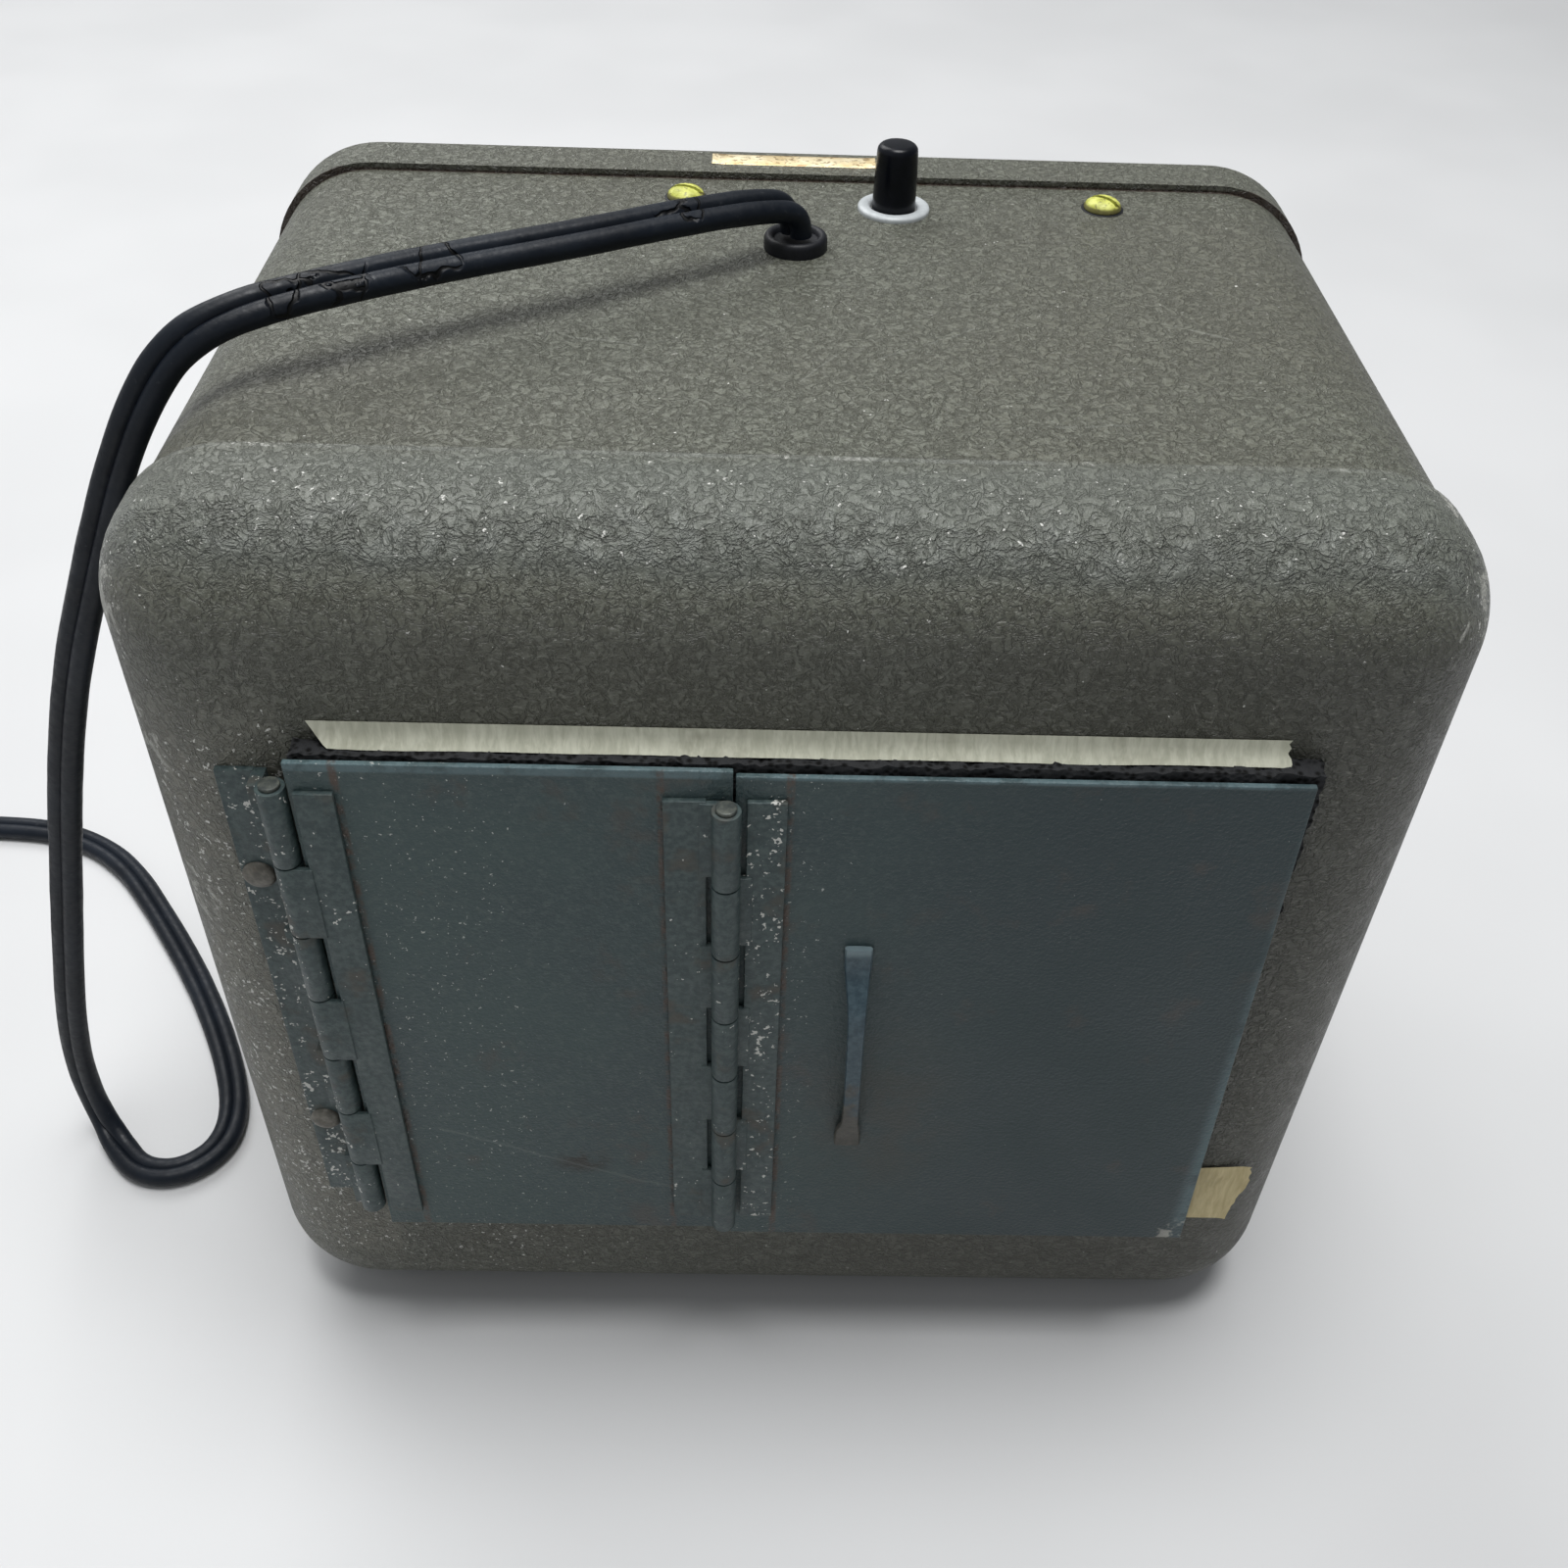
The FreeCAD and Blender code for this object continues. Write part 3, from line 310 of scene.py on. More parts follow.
def loft(name, rings, material, body, closed=False):
    """A skin over rings of the same number of points, capped at both ends."""
    count = len(rings[0])
    verts = [point for ring in rings for point in ring]
    faces = []
    spans = len(rings) if closed else len(rings) - 1
    for span in range(spans):
        low, high = span * count, ((span + 1) % len(rings)) * count
        for step in range(count):
            after = (step + 1) % count
            faces.append((low + step, low + after, high + after, high + step))
    if not closed:
        faces.append(tuple(range(count)))
        faces.append(tuple(range(len(verts) - count, len(verts))))
    return new_mesh(name, verts, faces, material, body)


def softened(node, material, body, width, segments):
    """A CAD node's shape again, with its sharp edges broken by a small round."""
    work = bmesh.new()
    work.from_mesh(NODE[node].data)
    bmesh.ops.remove_doubles(work, verts=work.verts, dist=2e-6)
    bmesh.ops.dissolve_limit(work, angle_limit=math.radians(0.8), verts=work.verts,
                             edges=work.edges)
    edges = [edge for edge in work.edges
             if len(edge.link_faces) == 2 and edge.calc_face_angle() > math.radians(35)]
    bmesh.ops.bevel(work, geom=edges, offset=width * MM, segments=segments, profile=0.6,
                    affect="EDGES", clamp_overlap=True)
    mesh = bpy.data.meshes.new(node + "_made")
    work.to_mesh(mesh)
    work.free()
    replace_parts(adopt(mesh, node + "_made", material, body), node)


# ------------------------------------------------------------------ materials

def casing_paint():
    """Olive grey wrinkle enamel, dusty and chipped at its corners and seams."""
    shade = Shade("casing_enamel", specular=0.5)
    grain = shade.noise(1250, 3, 0.65, 0.5)
    folds = shade.math("ABSOLUTE", shade.plus(shade.noise(520, 3, 0.6, 0.8), -0.5))
    crinkle = shade.band(folds, 0.0, 0.085)
    hammer = shade.noise(190, 3, 0.55, 0.6)
    broad = shade.noise(14, 3)
    # how far round the near edge: 0.140 where the top ends, 0.102 where the face begins
    round_edge = shade.plus(shade.y, shade.z)
    turn = shade.plus(round_edge, shade.wobble(60, 3, 0.010))
    near_side = shade.band(shade.y, -0.0490, -0.0465, 1.0, 0.0)
    shoulder = shade.times(shade.between(turn, 0.1225, 0.1275, 0.0065), near_side)
    painted_sheen = shade.times(shade.between(turn, 0.1210, 0.1400, 0.0080), near_side)
    on_face = shade.times(shade.band(round_edge, 0.104, 0.118, 1.0, 0.0), near_side)
    veins = shade.math("ABSOLUTE", shade.plus(shade.noise(230, 3, 0.6, 0.9), -0.5))
    veins = shade.band(veins, 0.0, 0.06)
    height = shade.plus(shade.times(grain, 0.55), shade.times(crinkle, 0.30))
    height = shade.plus(height, shade.times(hammer, shade.band(shoulder, 0, 1, 0.5, 1.5)))
    height = shade.plus(height, shade.times(veins, shade.band(shoulder, 0, 1, 0.0, 0.30)))
    shade.bump(height, 0.75)
    tone = shade.mix(shade.band(grain, 0.36, 0.64), (0.084, 0.087, 0.066), (0.150, 0.158, 0.128))
    tone = shade.mix(shade.band(broad, 0.35, 0.7, 0.0, 0.45), tone, (0.104, 0.100, 0.076))
    # painted shade: darker in the sunk folds of the wrinkles
    painted_crease_shade = shade.band(crinkle, 0.0, 1.0, 0.34, 0.0)
    tone = shade.mix(painted_crease_shade, tone, (0.048, 0.047, 0.036))
    # painted sheen: a lighter bluish band round the near edge's shoulder, where light reflects
    tone = shade.mix(shade.times(painted_sheen, 0.40), tone, (0.150, 0.166, 0.152))
    # painted shade: darker along the shoulder's sunk vein lines
    painted_crack_shade = shade.times(shade.band(veins, 0.0, 1.0, 0.50, 0.0), shoulder)
    tone = shade.mix(painted_crack_shade, tone, (0.058, 0.060, 0.050))
    rubbed = shade.times(shade.band(hammer, 0.46, 0.64), shoulder)
    tone = shade.mix(shade.times(rubbed, 0.32), tone, (0.235, 0.250, 0.230))
    # painted shade: the face darkens towards its right side
    painted_shade_right_face = shade.times(on_face, shade.band(shade.x, -0.06, 0.10, 0.22, 0.70))
    tone = shade.mix(painted_shade_right_face, tone, (0.044, 0.044, 0.034))
    # painted glints: small lighter flecks on the face for highlights on its wrinkles
    painted_glints = shade.noise(2400, 2, 0.6, at=shade.stretched(0.42, 1, 1))
    painted_glints = shade.times(shade.band(painted_glints, 0.60, 0.68), shade.band(on_face, 0, 1, 0.10, 0.42))
    tone = shade.mix(painted_glints, tone, (0.250, 0.250, 0.215))
    # dust and chips, thickest at the corners nearest the door side and beside the hinge
    blotch = shade.noise(230, 4, 0.7, 0.6)
    speck = shade.noise(900, 2, 0.75)
    corners = shade.near_any(((-97, -58, 174), 17), ((-99, -64, 152), 12), ((96, -56, 177), 16),
                             ((-96, -67, 120), 12), ((99, -60, 160), 9), ((94, -48, 187), 9))
    hinge_side = shade.times(shade.between(shade.x, -0.0985, -0.076, 0.004),
                             shade.between(shade.z, 0.03, 0.150, 0.02))
    hinge_side = shade.times(hinge_side, shade.band(shade.y, -0.066, -0.062, 1.0, 0.0))
    lower_left = shade.near((-58, -71, 26), 44, (1, 1, 2.1))
    dusty = shade.either(hinge_side, shade.times(lower_left, 0.8), corners,
                         shade.times(painted_sheen, 0.45))
    clumps = shade.noise(110, 3, 0.6)
    chance = shade.plus(shade.plus(speck, shade.times(clumps, 0.22)), shade.times(dusty, 0.11))
    chips = shade.band(chance, 0.845, 0.88)
    scuffs = shade.band(shade.plus(blotch, shade.times(corners, 0.22)), 0.70, 0.78, 0.0, 0.75)
    haze = shade.times(hinge_side, shade.band(blotch, 0.35, 0.65, 0.12, 0.45))
    tone = shade.mix(haze, tone, (0.235, 0.225, 0.185))
    tone = shade.mix(scuffs, tone, (0.42, 0.42, 0.38))
    tone = shade.mix(shade.times(chips, 0.9), tone, (0.66, 0.66, 0.62))
    # hairline scratches on the top
    for place, length, slope in (((-3, -27), 9, 1.5), ((56, 2), 13, -0.5), ((30, -36), 20, 0.1),
                                 ((-44, -8), 17, -0.25), ((14, -14), 14, 0.7)):
        tone = shade.mix(shade.times(shade.scratch(place, length, slope), 0.34), tone,
                         (0.27, 0.28, 0.25))
    # rust in the far lap; a rubbed rim with flecks along the near one, and beside it a dark line of
    # dirt and painted contact shadow
    edge = shade.plus(shade.y, shade.wobble(60, 2, 0.0008))
    far_lap = shade.between(edge, 0.0560, 0.0566, 0.0003)
    far_lap = shade.times(far_lap, shade.either(shade.band(shade.z, 0.1909, 0.1913, 1.0, 0.12),
                                                shade.band(shade.z, 0.185, 0.188, 1.0, 0.0)))
    rust = shade.mix(shade.noise(400, 3), (0.050, 0.026, 0.016), (0.028, 0.020, 0.015))
    tone = shade.mix(shade.times(far_lap, 0.85), tone, rust)
    # a dark line beside the near lap: dirt and painted contact shadow
    near_lap = shade.between(edge, -0.0468, -0.0460, 0.0005)
    tone = shade.mix(shade.times(near_lap, 0.75), tone, (0.040, 0.038, 0.030))
    lip = shade.between(edge, -0.0480, -0.0473, 0.0004)
    tone = shade.mix(shade.times(lip, shade.band(shade.noise(60, 3), 0.3, 0.6, 0.12, 0.5)), tone,
                     (0.20, 0.21, 0.19))
    flecks = shade.band(shade.noise(420, 3, 0.7), 0.52, 0.62)
    worn = shade.either(shade.band(shade.noise(70, 3), 0.54, 0.66, 0.0, 0.75),
                        shade.near((-79, -47.5, 192), 8, (0.8, 1, 1)))
    tone = shade.mix(shade.times(shade.times(lip, worn), flecks), tone, (0.50, 0.50, 0.46))
    rough = shade.band(blotch, 0.3, 0.7, 0.36, 0.52)
    return shade.finish(tone, rough)


def door_paint():
    """Slate blue enamel, brushed on; edges rubbed lighter, with chips and old rust."""
    shade = Shade("door_enamel", specular=0.4)
    mottled = shade.noise(900, 3, 0.65)
    brush = shade.noise(300, 3, 0.6, at=shade.stretched(1, 1, 0.25))
    broad = shade.noise(26, 3, 0.6)
    tone = shade.mix(shade.band(broad, 0.3, 0.7), (0.027, 0.048, 0.052), (0.045, 0.072, 0.072))
    tone = shade.mix(shade.band(mottled, 0.45, 0.74, 0.0, 0.6), tone, (0.074, 0.102, 0.096))
    # painted shade: the plates darken towards the right
    painted_shade_right_plate = shade.band(shade.x, -0.012, 0.05, 0.0, 0.75)
    tone = shade.mix(painted_shade_right_plate, tone, (0.017, 0.032, 0.037))
    brown = shade.noise(75, 4, 0.7)
    fold_side = shade.between(shade.x, -0.026, 0.006, 0.008)
    aged = shade.plus(brown, shade.times(fold_side, 0.06))
    tone = shade.mix(shade.band(aged, 0.58, 0.74, 0.0, 0.5), tone, (0.068, 0.054, 0.044))
    left_side = shade.band(shade.x, -0.008, -0.002, 1.0, 0.0)
    hinge_near = shade.either(shade.between(shade.x, -0.004, 0.003, 0.004),
                              shade.between(shade.x, -0.066, -0.046, 0.012))
    low = shade.band(shade.z, 0.05, 0.11, 1.0, 0.2)
    speck = shade.noise(1000, 2, 0.75)
    dusty = shade.either(hinge_near, shade.times(shade.times(low, left_side), 0.7))
    chance = shade.plus(speck, shade.times(dusty, 0.085))
    tone = shade.mix(shade.times(shade.band(chance, 0.735, 0.77), 0.8), tone, (0.50, 0.51, 0.48))
    smudge = shade.near((-36, -76, 61), 7.2, (1, 1, 1.7))
    smudge = shade.times(smudge, shade.band(shade.noise(260, 3), 0.30, 0.45))
    tone = shade.mix(shade.times(smudge, 0.9), tone, (0.020, 0.017, 0.014))
    grimy = shade.near((17, -76, 76), 30, (1.5, 1, 0.9))
    grimy = shade.times(grimy, shade.band(shade.noise(120, 4, 0.7), 0.35, 0.6, 0.1, 0.55))
    tone = shade.mix(grimy, tone, (0.052, 0.050, 0.041))
    # one long faint scratch across the lower left plate
    fall = shade.plus(shade.z, shade.times(shade.plus(shade.x, 0.0595), 0.42))
    fall = shade.math("ABSOLUTE", shade.plus(fall, shade.plus(-0.0715, shade.times(brown, 0.003))))
    drag = shade.times(shade.band(fall, 0.0001, 0.0005, 1.0, 0.0),
                       shade.between(shade.x, -0.059, -0.012, 0.004))
    tone = shade.mix(shade.times(drag, 0.30), tone, (0.17, 0.20, 0.19))
    # rubbed rims: the top edge, the free edge and its worn lower corner
    worn = shade.noise(150, 4, 0.7)
    rim = shade.either(shade.band(shade.z, 0.1556, 0.1562), shade.band(shade.x, 0.0745, 0.0775))
    rim = shade.times(rim, shade.band(worn, 0.38, 0.55, 0.35, 1.0))
    tone = shade.mix(shade.times(rim, 0.7), tone, (0.11, 0.17, 0.185))
    corner = shade.either(shade.near((78, -76, 40), 9), shade.near((77, -76, 155), 3.5))
    bare = shade.band(shade.plus(worn, shade.times(corner, 0.25)), 0.66, 0.74)
    tone = shade.mix(shade.times(shade.times(bare, corner), 0.9), tone, (0.36, 0.35, 0.31))
    # rust creeping from the hinge leaves' edges
    creep = shade.noise(210, 4, 0.7)
    beside = shade.either(shade.between(shade.x, -0.0668, -0.0661, 0.0005),
                          shade.between(shade.x, -0.0200, -0.0194, 0.0005),
                          shade.between(shade.x, -0.0012, -0.0005, 0.0005))
    rust = shade.times(beside, shade.band(creep, 0.40, 0.60))
    tone = shade.mix(shade.times(rust, 0.75), tone, (0.085, 0.050, 0.034))
    peel = shade.noise(1500, 2, 0.6)
    shade.bump(shade.plus(shade.times(brush, 0.3), shade.plus(shade.times(mottled, 0.6), peel)), 0.26)
    return shade.finish(tone, shade.band(broad, 0.3, 0.7, 0.40, 0.55))


def rusty_metal(name, paint, dark, rust, amount=0.5, metallic=0.3, rough=0.5):
    """Painted or plated small steel, rusting in its grain."""
    shade = Shade(name, metallic=metallic)
    grain = shade.noise(700, 4, 0.65)
    broad = shade.noise(150, 3, 0.6)
    tone = shade.mix(shade.band(grain, 0.35, 0.7), dark, paint)
    tone = shade.mix(shade.band(broad, 0.62 - 0.2 * amount, 0.80 - 0.2 * amount), tone, rust)
    shade.bump(shade.plus(grain, shade.times(broad, 0.6)), 0.10)
    return shade.finish(tone, shade.band(broad, 0.3, 0.7, rough - 0.1, rough + 0.15))


def hinge_paint():
    """The doors' enamel on the hinge leaves: brown grime and white flecks."""
    shade = Shade("hinge_enamel", specular=0.4)
    grain = shade.noise(900, 3, 0.65)
    broad = shade.noise(120, 3, 0.6)
    tone = shade.mix(shade.band(grain, 0.35, 0.7), (0.030, 0.048, 0.050), (0.062, 0.088, 0.085))
    tone = shade.mix(shade.band(broad, 0.54, 0.70, 0.0, 0.7), tone, (0.070, 0.060, 0.047))
    flecked = shade.either(shade.between(shade.x, -0.0070, -0.0020, 0.0015),
                           shade.between(shade.x, -0.0860, -0.0780, 0.0020))
    clumps = shade.noise(95, 3, 0.6)
    chance = shade.plus(shade.noise(800, 2, 0.75), shade.times(clumps, 0.30))
    chance = shade.plus(chance, shade.times(flecked, 0.085))
    tone = shade.mix(shade.times(shade.band(chance, 0.86, 0.89), 0.9), tone, (0.60, 0.60, 0.56))
    shade.bump(shade.plus(grain, shade.times(broad, 0.6)), 0.16)
    return shade.finish(tone, shade.band(broad, 0.3, 0.7, 0.40, 0.58))


def pull_paint():
    """Blue paint on the pull's upper half, worn to brown primer towards its foot."""
    shade = Shade("pull_enamel", specular=0.45)
    grain = shade.noise(700, 4, 0.65)
    patch = shade.noise(130, 4, 0.7)
    blue = shade.mix(shade.band(grain, 0.35, 0.7), (0.026, 0.050, 0.066), (0.060, 0.098, 0.118))
    brown = shade.mix(shade.band(grain, 0.35, 0.7), (0.040, 0.038, 0.031), (0.078, 0.072, 0.058))
    height = shade.plus(shade.z, shade.times(shade.plus(patch, -0.5), 0.05))
    tone = shade.mix(shade.band(height, 0.084, 0.094), brown, blue)
    tip = shade.band(shade.z, 0.1188, 0.1206)
    tone = shade.mix(shade.times(tip, 0.7), tone, (0.20, 0.27, 0.29))
    shade.bump(shade.plus(grain, patch), 0.16)
    return shade.finish(tone, shade.band(patch, 0.3, 0.7, 0.40, 0.58))


def plain(name, tone, dark, scale=300, rough=0.5, metallic=0.0, depth=0.05, stretch=None,
          specular=0.5):
    """A finish with a fine grain and a slow change of tone."""
    shade = Shade(name, metallic=metallic, specular=specular)
    at = shade.stretched(*stretch) if stretch else None
    grain = shade.noise(scale, 4, 0.6, at=at)
    broad = shade.noise(scale / 12, 2)
    colour = shade.mix(shade.band(grain, 0.3, 0.7), dark, tone)
    colour = shade.mix(shade.band(broad, 0.35, 0.75, 0.0, 0.35), colour, dark)
    shade.bump(grain, depth)
    return shade.finish(colour, shade.band(broad, 0.3, 0.7, max(rough - 0.08, 0.02), rough + 0.1))


def foam_black():
    shade = Shade("foam_cells", specular=0.2)
    pores = shade.cells(900)
    lumps = shade.noise(500, 3, 0.7)
    tone = shade.mix(shade.band(pores, 0.15, 0.6), (0.004, 0.004, 0.004), (0.030, 0.031, 0.033))
    shade.bump(shade.plus(pores, lumps), 0.5)
    return shade.finish(tone, 0.9)


def tape_paper(name, light, dark):
    """Creped masking tape: fine ridges across its length, grimy in places."""
    shade = Shade(name, specular=0.3)
    crepe = shade.noise(420, 3, 0.6, 0.4, at=shade.stretched(2.2, 1, 0.35))
    grime = shade.noise(90, 4, 0.7)
    tone = shade.mix(shade.band(crepe, 0.3, 0.7), dark, light)
    tone = shade.mix(shade.band(grime, 0.5, 0.8, 0.0, 0.5), tone, (0.17, 0.15, 0.11))
    shade.bump(crepe, 0.18)
    return shade.finish(tone, 0.72)


def cord_rubber():
    """Old black rubber lead, slightly dusty, with fine cracks."""
    shade = Shade("cord_rubber", specular=0.25)
    grain = shade.noise(700, 3, 0.6)
    broad = shade.noise(60, 3)
    cracks = shade.cells(150, "DISTANCE_TO_EDGE", at=shade.warped(0.004, 200))
    aged = shade.near_any(((-73, -21, 204), 12), ((-58, -10, 204), 8), ((-21, 12, 203), 6),
                          ((-17, 14, 202), 4))
    split = shade.times(shade.band(cracks, 0.015, 0.05, 1.0, 0.0), shade.band(aged, 0.2, 0.5))
    tone = shade.mix(shade.band(broad, 0.35, 0.7), (0.0042, 0.0066, 0.0110), (0.008, 0.012, 0.019))
    tone = shade.mix(shade.times(shade.band(grain, 0.66, 0.72), 0.25), tone, (0.06, 0.065, 0.07))
    tone = shade.mix(shade.times(split, 0.9), tone, (0.001, 0.001, 0.001))
    height = shade.plus(shade.times(grain, 0.2), shade.times(split, -1.4))
    shade.bump(height, 0.4)
    return shade.finish(tone, shade.band(grain, 0.3, 0.7, 0.38, 0.56))


def foil_badge():
    """Brass foil, dulled and blotched with dark marks that say nothing."""
    shade = Shade("badge_foil", metallic=0.6)
    marks = shade.noise(900, 3, 0.7, 0.8, at=shade.stretched(0.7, 1, 1))
    blots = shade.noise(190, 2, 0.6)
    tone = shade.mix(shade.band(blots, 0.3, 0.7), (0.66, 0.52, 0.28), (0.92, 0.84, 0.60))
    tone = shade.mix(shade.band(marks, 0.52, 0.62, 0.0, 0.8), tone, (0.20, 0.12, 0.05))
    rim = shade.either(shade.band(shade.y, 0.0609, 0.0606), shade.band(shade.y, 0.0645, 0.0648))
    tone = shade.mix(shade.times(rim, 0.6), tone, (0.30, 0.19, 0.08))
    shade.bump(marks, 0.05)
    return shade.finish(tone, 0.42)


def daubed_yellow():
    """Yellow green paint daubed over a steel screw, with painted shade low on the head and in its slot.
    """
    shade = Shade("screw_paint")
    daub = shade.noise(420, 3, 0.6)
    grime = shade.noise(900, 3, 0.7)
    tone = shade.mix(shade.band(daub, 0.3, 0.7), (0.40, 0.42, 0.055), (0.68, 0.70, 0.17))
    tone = shade.mix(shade.band(grime, 0.54, 0.66, 0.0, 0.85), tone, (0.12, 0.10, 0.04))
    # painted shade: darker round the head's lower rim and in the bottom of its slot
    painted_rim_shade = shade.band(shade.z, 0.19155, 0.19205, 1.0, 0.0)
    tone = shade.mix(shade.times(painted_rim_shade, 0.85), tone, (0.085, 0.070, 0.028))
    shade.bump(shade.plus(daub, grime), 0.12)
    return shade.finish(tone, 0.45)


def clear_glass(name, tint, alpha, rough=0.08):
    shade = Shade(name)
    film = shade.noise(120, 3)
    tone = shade.mix(shade.band(film, 0.3, 0.7), tint, tuple(0.8 * part for part in tint))
    shade.bsdf.inputs["Alpha"].default_value = alpha
    shade.bump(film, 0.02)
    return shade.finish(tone, shade.band(film, 0.3, 0.7, rough, rough + 0.08))


def laminations():
    shade = Shade("core_plates", metallic=0.6)
    layers = shade.add("ShaderNodeTexWave", wave_type="BANDS", bands_direction="Y")
    layers.inputs["Scale"].default_value = 640
    layers.inputs["Distortion"].default_value = 0.4
    grain = shade.noise(300, 3)
    tone = shade.mix(layers.outputs["Fac"], (0.05, 0.05, 0.055), (0.17, 0.17, 0.18))
    tone = shade.mix(shade.band(grain, 0.55, 0.75, 0.0, 0.6), tone, (0.12, 0.055, 0.03))
    shade.wire(shade.place, layers.inputs["Vector"])
    shade.bump(layers.outputs["Fac"], 0.12)
    return shade.finish(tone, 0.5)


def wound_wire():
    shade = Shade("wound_wire", metallic=0.7)
    turns = shade.add("ShaderNodeTexWave", wave_type="BANDS", bands_direction="DIAGONAL")
    turns.inputs["Scale"].default_value = 420
    turns.inputs["Distortion"].default_value = 1.5
    shade.wire(shade.place, turns.inputs["Vector"])
    tone = shade.mix(turns.outputs["Fac"], (0.16, 0.05, 0.018), (0.55, 0.24, 0.10))
    shade.bump(turns.outputs["Fac"], 0.2)
    return shade.finish(tone, 0.35)


MAT = {
    "casing": casing_paint(),
    "door": door_paint(),
    "hinge": hinge_paint(),
    "pin": rusty_metal("pin_worn", (0.120, 0.130, 0.110), (0.048, 0.056, 0.054),
                       (0.130, 0.105, 0.060), 0.2, 0.3, 0.45),
    "pull": pull_paint(),
    "steel": rusty_metal("dull_steel", (0.175, 0.165, 0.140), (0.090, 0.085, 0.072),
                         (0.110, 0.082, 0.058), 0.3, 0.3, 0.5),
    "foam": foam_black(),
    "tape": tape_paper("crepe_grey", (0.56, 0.565, 0.46), (0.42, 0.425, 0.335)),
    "patch": tape_paper("crepe_yellow", (0.62, 0.53, 0.31), (0.47, 0.39, 0.21)),
    "cord": cord_rubber(),
    "badge": foil_badge(),
    "yellow": daubed_yellow(),
    "black": plain("button_gloss", (0.004, 0.005, 0.009), (0.002, 0.003, 0.005), 400, 0.30, 0, 0.01,
                   specular=0.22),
    "white": plain("collar_nylon", (0.50, 0.53, 0.54), (0.42, 0.45, 0.46), 700, 0.4, 0, 0.03),
    "rubber": plain("grommet_rubber", (0.009, 0.010, 0.014), (0.005, 0.006, 0.008), 500, 0.5, 0, 0.05,
                    specular=0.3),
    "panel": plain("panel_enamel", (0.125, 0.130, 0.106), (0.092, 0.096, 0.078), 1300, 0.5, 0, 0.35),
    "lens": clear_glass("lens_frosted", (0.80, 0.78, 0.66), 0.72, 0.3),
    "zinc": plain("zinc_plate", (0.46, 0.46, 0.43), (0.27, 0.27, 0.25), 180, 0.42, 0.8, 0.04),
    "cut_steel": plain("cut_steel", (0.44, 0.44, 0.43), (0.33, 0.33, 0.32), 900, 0.34, 0.9, 0.03),
    "brass": plain("gear_brass", (0.60, 0.44, 0.18), (0.36, 0.24, 0.09), 320, 0.34, 0.9, 0.04),
    "bronze": plain("oiled_bronze", (0.42, 0.26, 0.11), (0.24, 0.14, 0.06), 380, 0.38, 0.85, 0.04),
    "motor": plain("motor_enamel", (0.030, 0.032, 0.034), (0.014, 0.015, 0.016), 260, 0.38, 0, 0.06),
    "copper": wound_wire(),
    "fibre": plain("fan_fibre", (0.22, 0.10, 0.045), (0.12, 0.055, 0.025), 300, 0.6, 0, 0.05),
    "core": laminations(),
    "graphite": plain("valve_anode", (0.085, 0.085, 0.090), (0.040, 0.040, 0.043), 900, 0.5, 0.4, 0.03),
    "paper": plain("coil_wrap", (0.42, 0.26, 0.10), (0.25, 0.14, 0.05), 340, 0.45, 0, 0.08,
                   (1, 1, 4)),
    "relay": plain("relay_plate", (0.44, 0.40, 0.27), (0.25, 0.22, 0.14), 300, 0.38, 0.8, 0.03),
    "can": plain("drawn_can", (0.52, 0.52, 0.52), (0.34, 0.34, 0.34), 300, 0.34, 0.9, 0.03,
                 (1, 1, 0.1)),
    "bakelite": plain("bakelite", (0.060, 0.026, 0.014), (0.030, 0.013, 0.008), 260, 0.3, 0, 0.03),
    "plated": plain("plated_screw", (0.62, 0.52, 0.28), (0.38, 0.30, 0.15), 500, 0.32, 0.9, 0.03),
    "valve": clear_glass("valve_glass", (0.62, 0.66, 0.66), 0.32),
    "bulb": clear_glass("bulb_glass", (0.86, 0.85, 0.80), 0.75, 0.35),
    "ceramic": plain("ceramic", (0.70, 0.68, 0.60), (0.50, 0.48, 0.42), 300, 0.3, 0, 0.02),
}


# ------------------------------------------------------------------ power cord

LYING = 2.2   # height of the lead's centreline where it lies on the table

# The given route from the grommet, over the left edge and round on the table.
CORD_ROUTE = [
    (-0.6, 26, 193.4), (-0.6, 26, 198), (-7.5, 20.5, 200.3), (-20, 12.5, 201.2), (-36, 2, 201.7),
    (-56, -9, 202), (-73, -21, 202.6), (-84.5, -27, 201.4), (-92.5, -30, 197.5),
    (-99.3, -31.5, 188.5), (-106, -32, 176), (-114, -32.5, 158), (-123, -31.5, 137),
    (-131.5, -29.5, 112), (-139, -28, 85), (-145, -27.5, 62), (-150, -27, 42), (-153, -26.3, 26),
    (-153.5, -26.5, 14), (-151.5, -28.5, 6), (-147.5, -33.5, 2.6), (-141, -39.8, LYING),
    (-132, -40, LYING), (-124.7, -33.5, LYING), (-124, -23, LYING), (-129.5, -8, LYING),
    (-141, 13, LYING), (-156.5, 35.5, LYING), (-174, 58, LYING), (-192, 68, LYING), (-210, 70, LYING),
    (-235, 69.5, LYING), (-256, 69, LYING),
]
CORD_WIDTH = 6.6
CORD_THICK = 3.9
LOBE_REACH = (CORD_WIDTH - CORD_THICK) / 2


def coil_points():
    """Turns wound inwards on the table, then outwards on top of themselves to the plug."""
    low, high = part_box("cord_coil")
    centre = (low + high) / (2 * MM)
    steps = 16
    floor_turns, top_turns = 2.45, 2.75
    outer, inward = 44, 6.9
    points = []
    for count in range(2, int((floor_turns + top_turns) * steps) + 1):
        turns = count / steps
        angle = math.pi / 2 + 2 * math.pi * turns
        if turns <= floor_turns:
            radius = outer - inward * max(turns - 0.25, 0)
            height = LYING
        else:
            over = turns - floor_turns
            radius = outer - inward * (floor_turns - 0.25) + inward * max(over - 0.3, 0) * 0.9
            height = LYING + (CORD_THICK + 0.2) * min(over * 3.2, 1)
        points.append((centre.x + radius * math.cos(angle), centre.y + radius * math.sin(angle),
                       height))
    return points


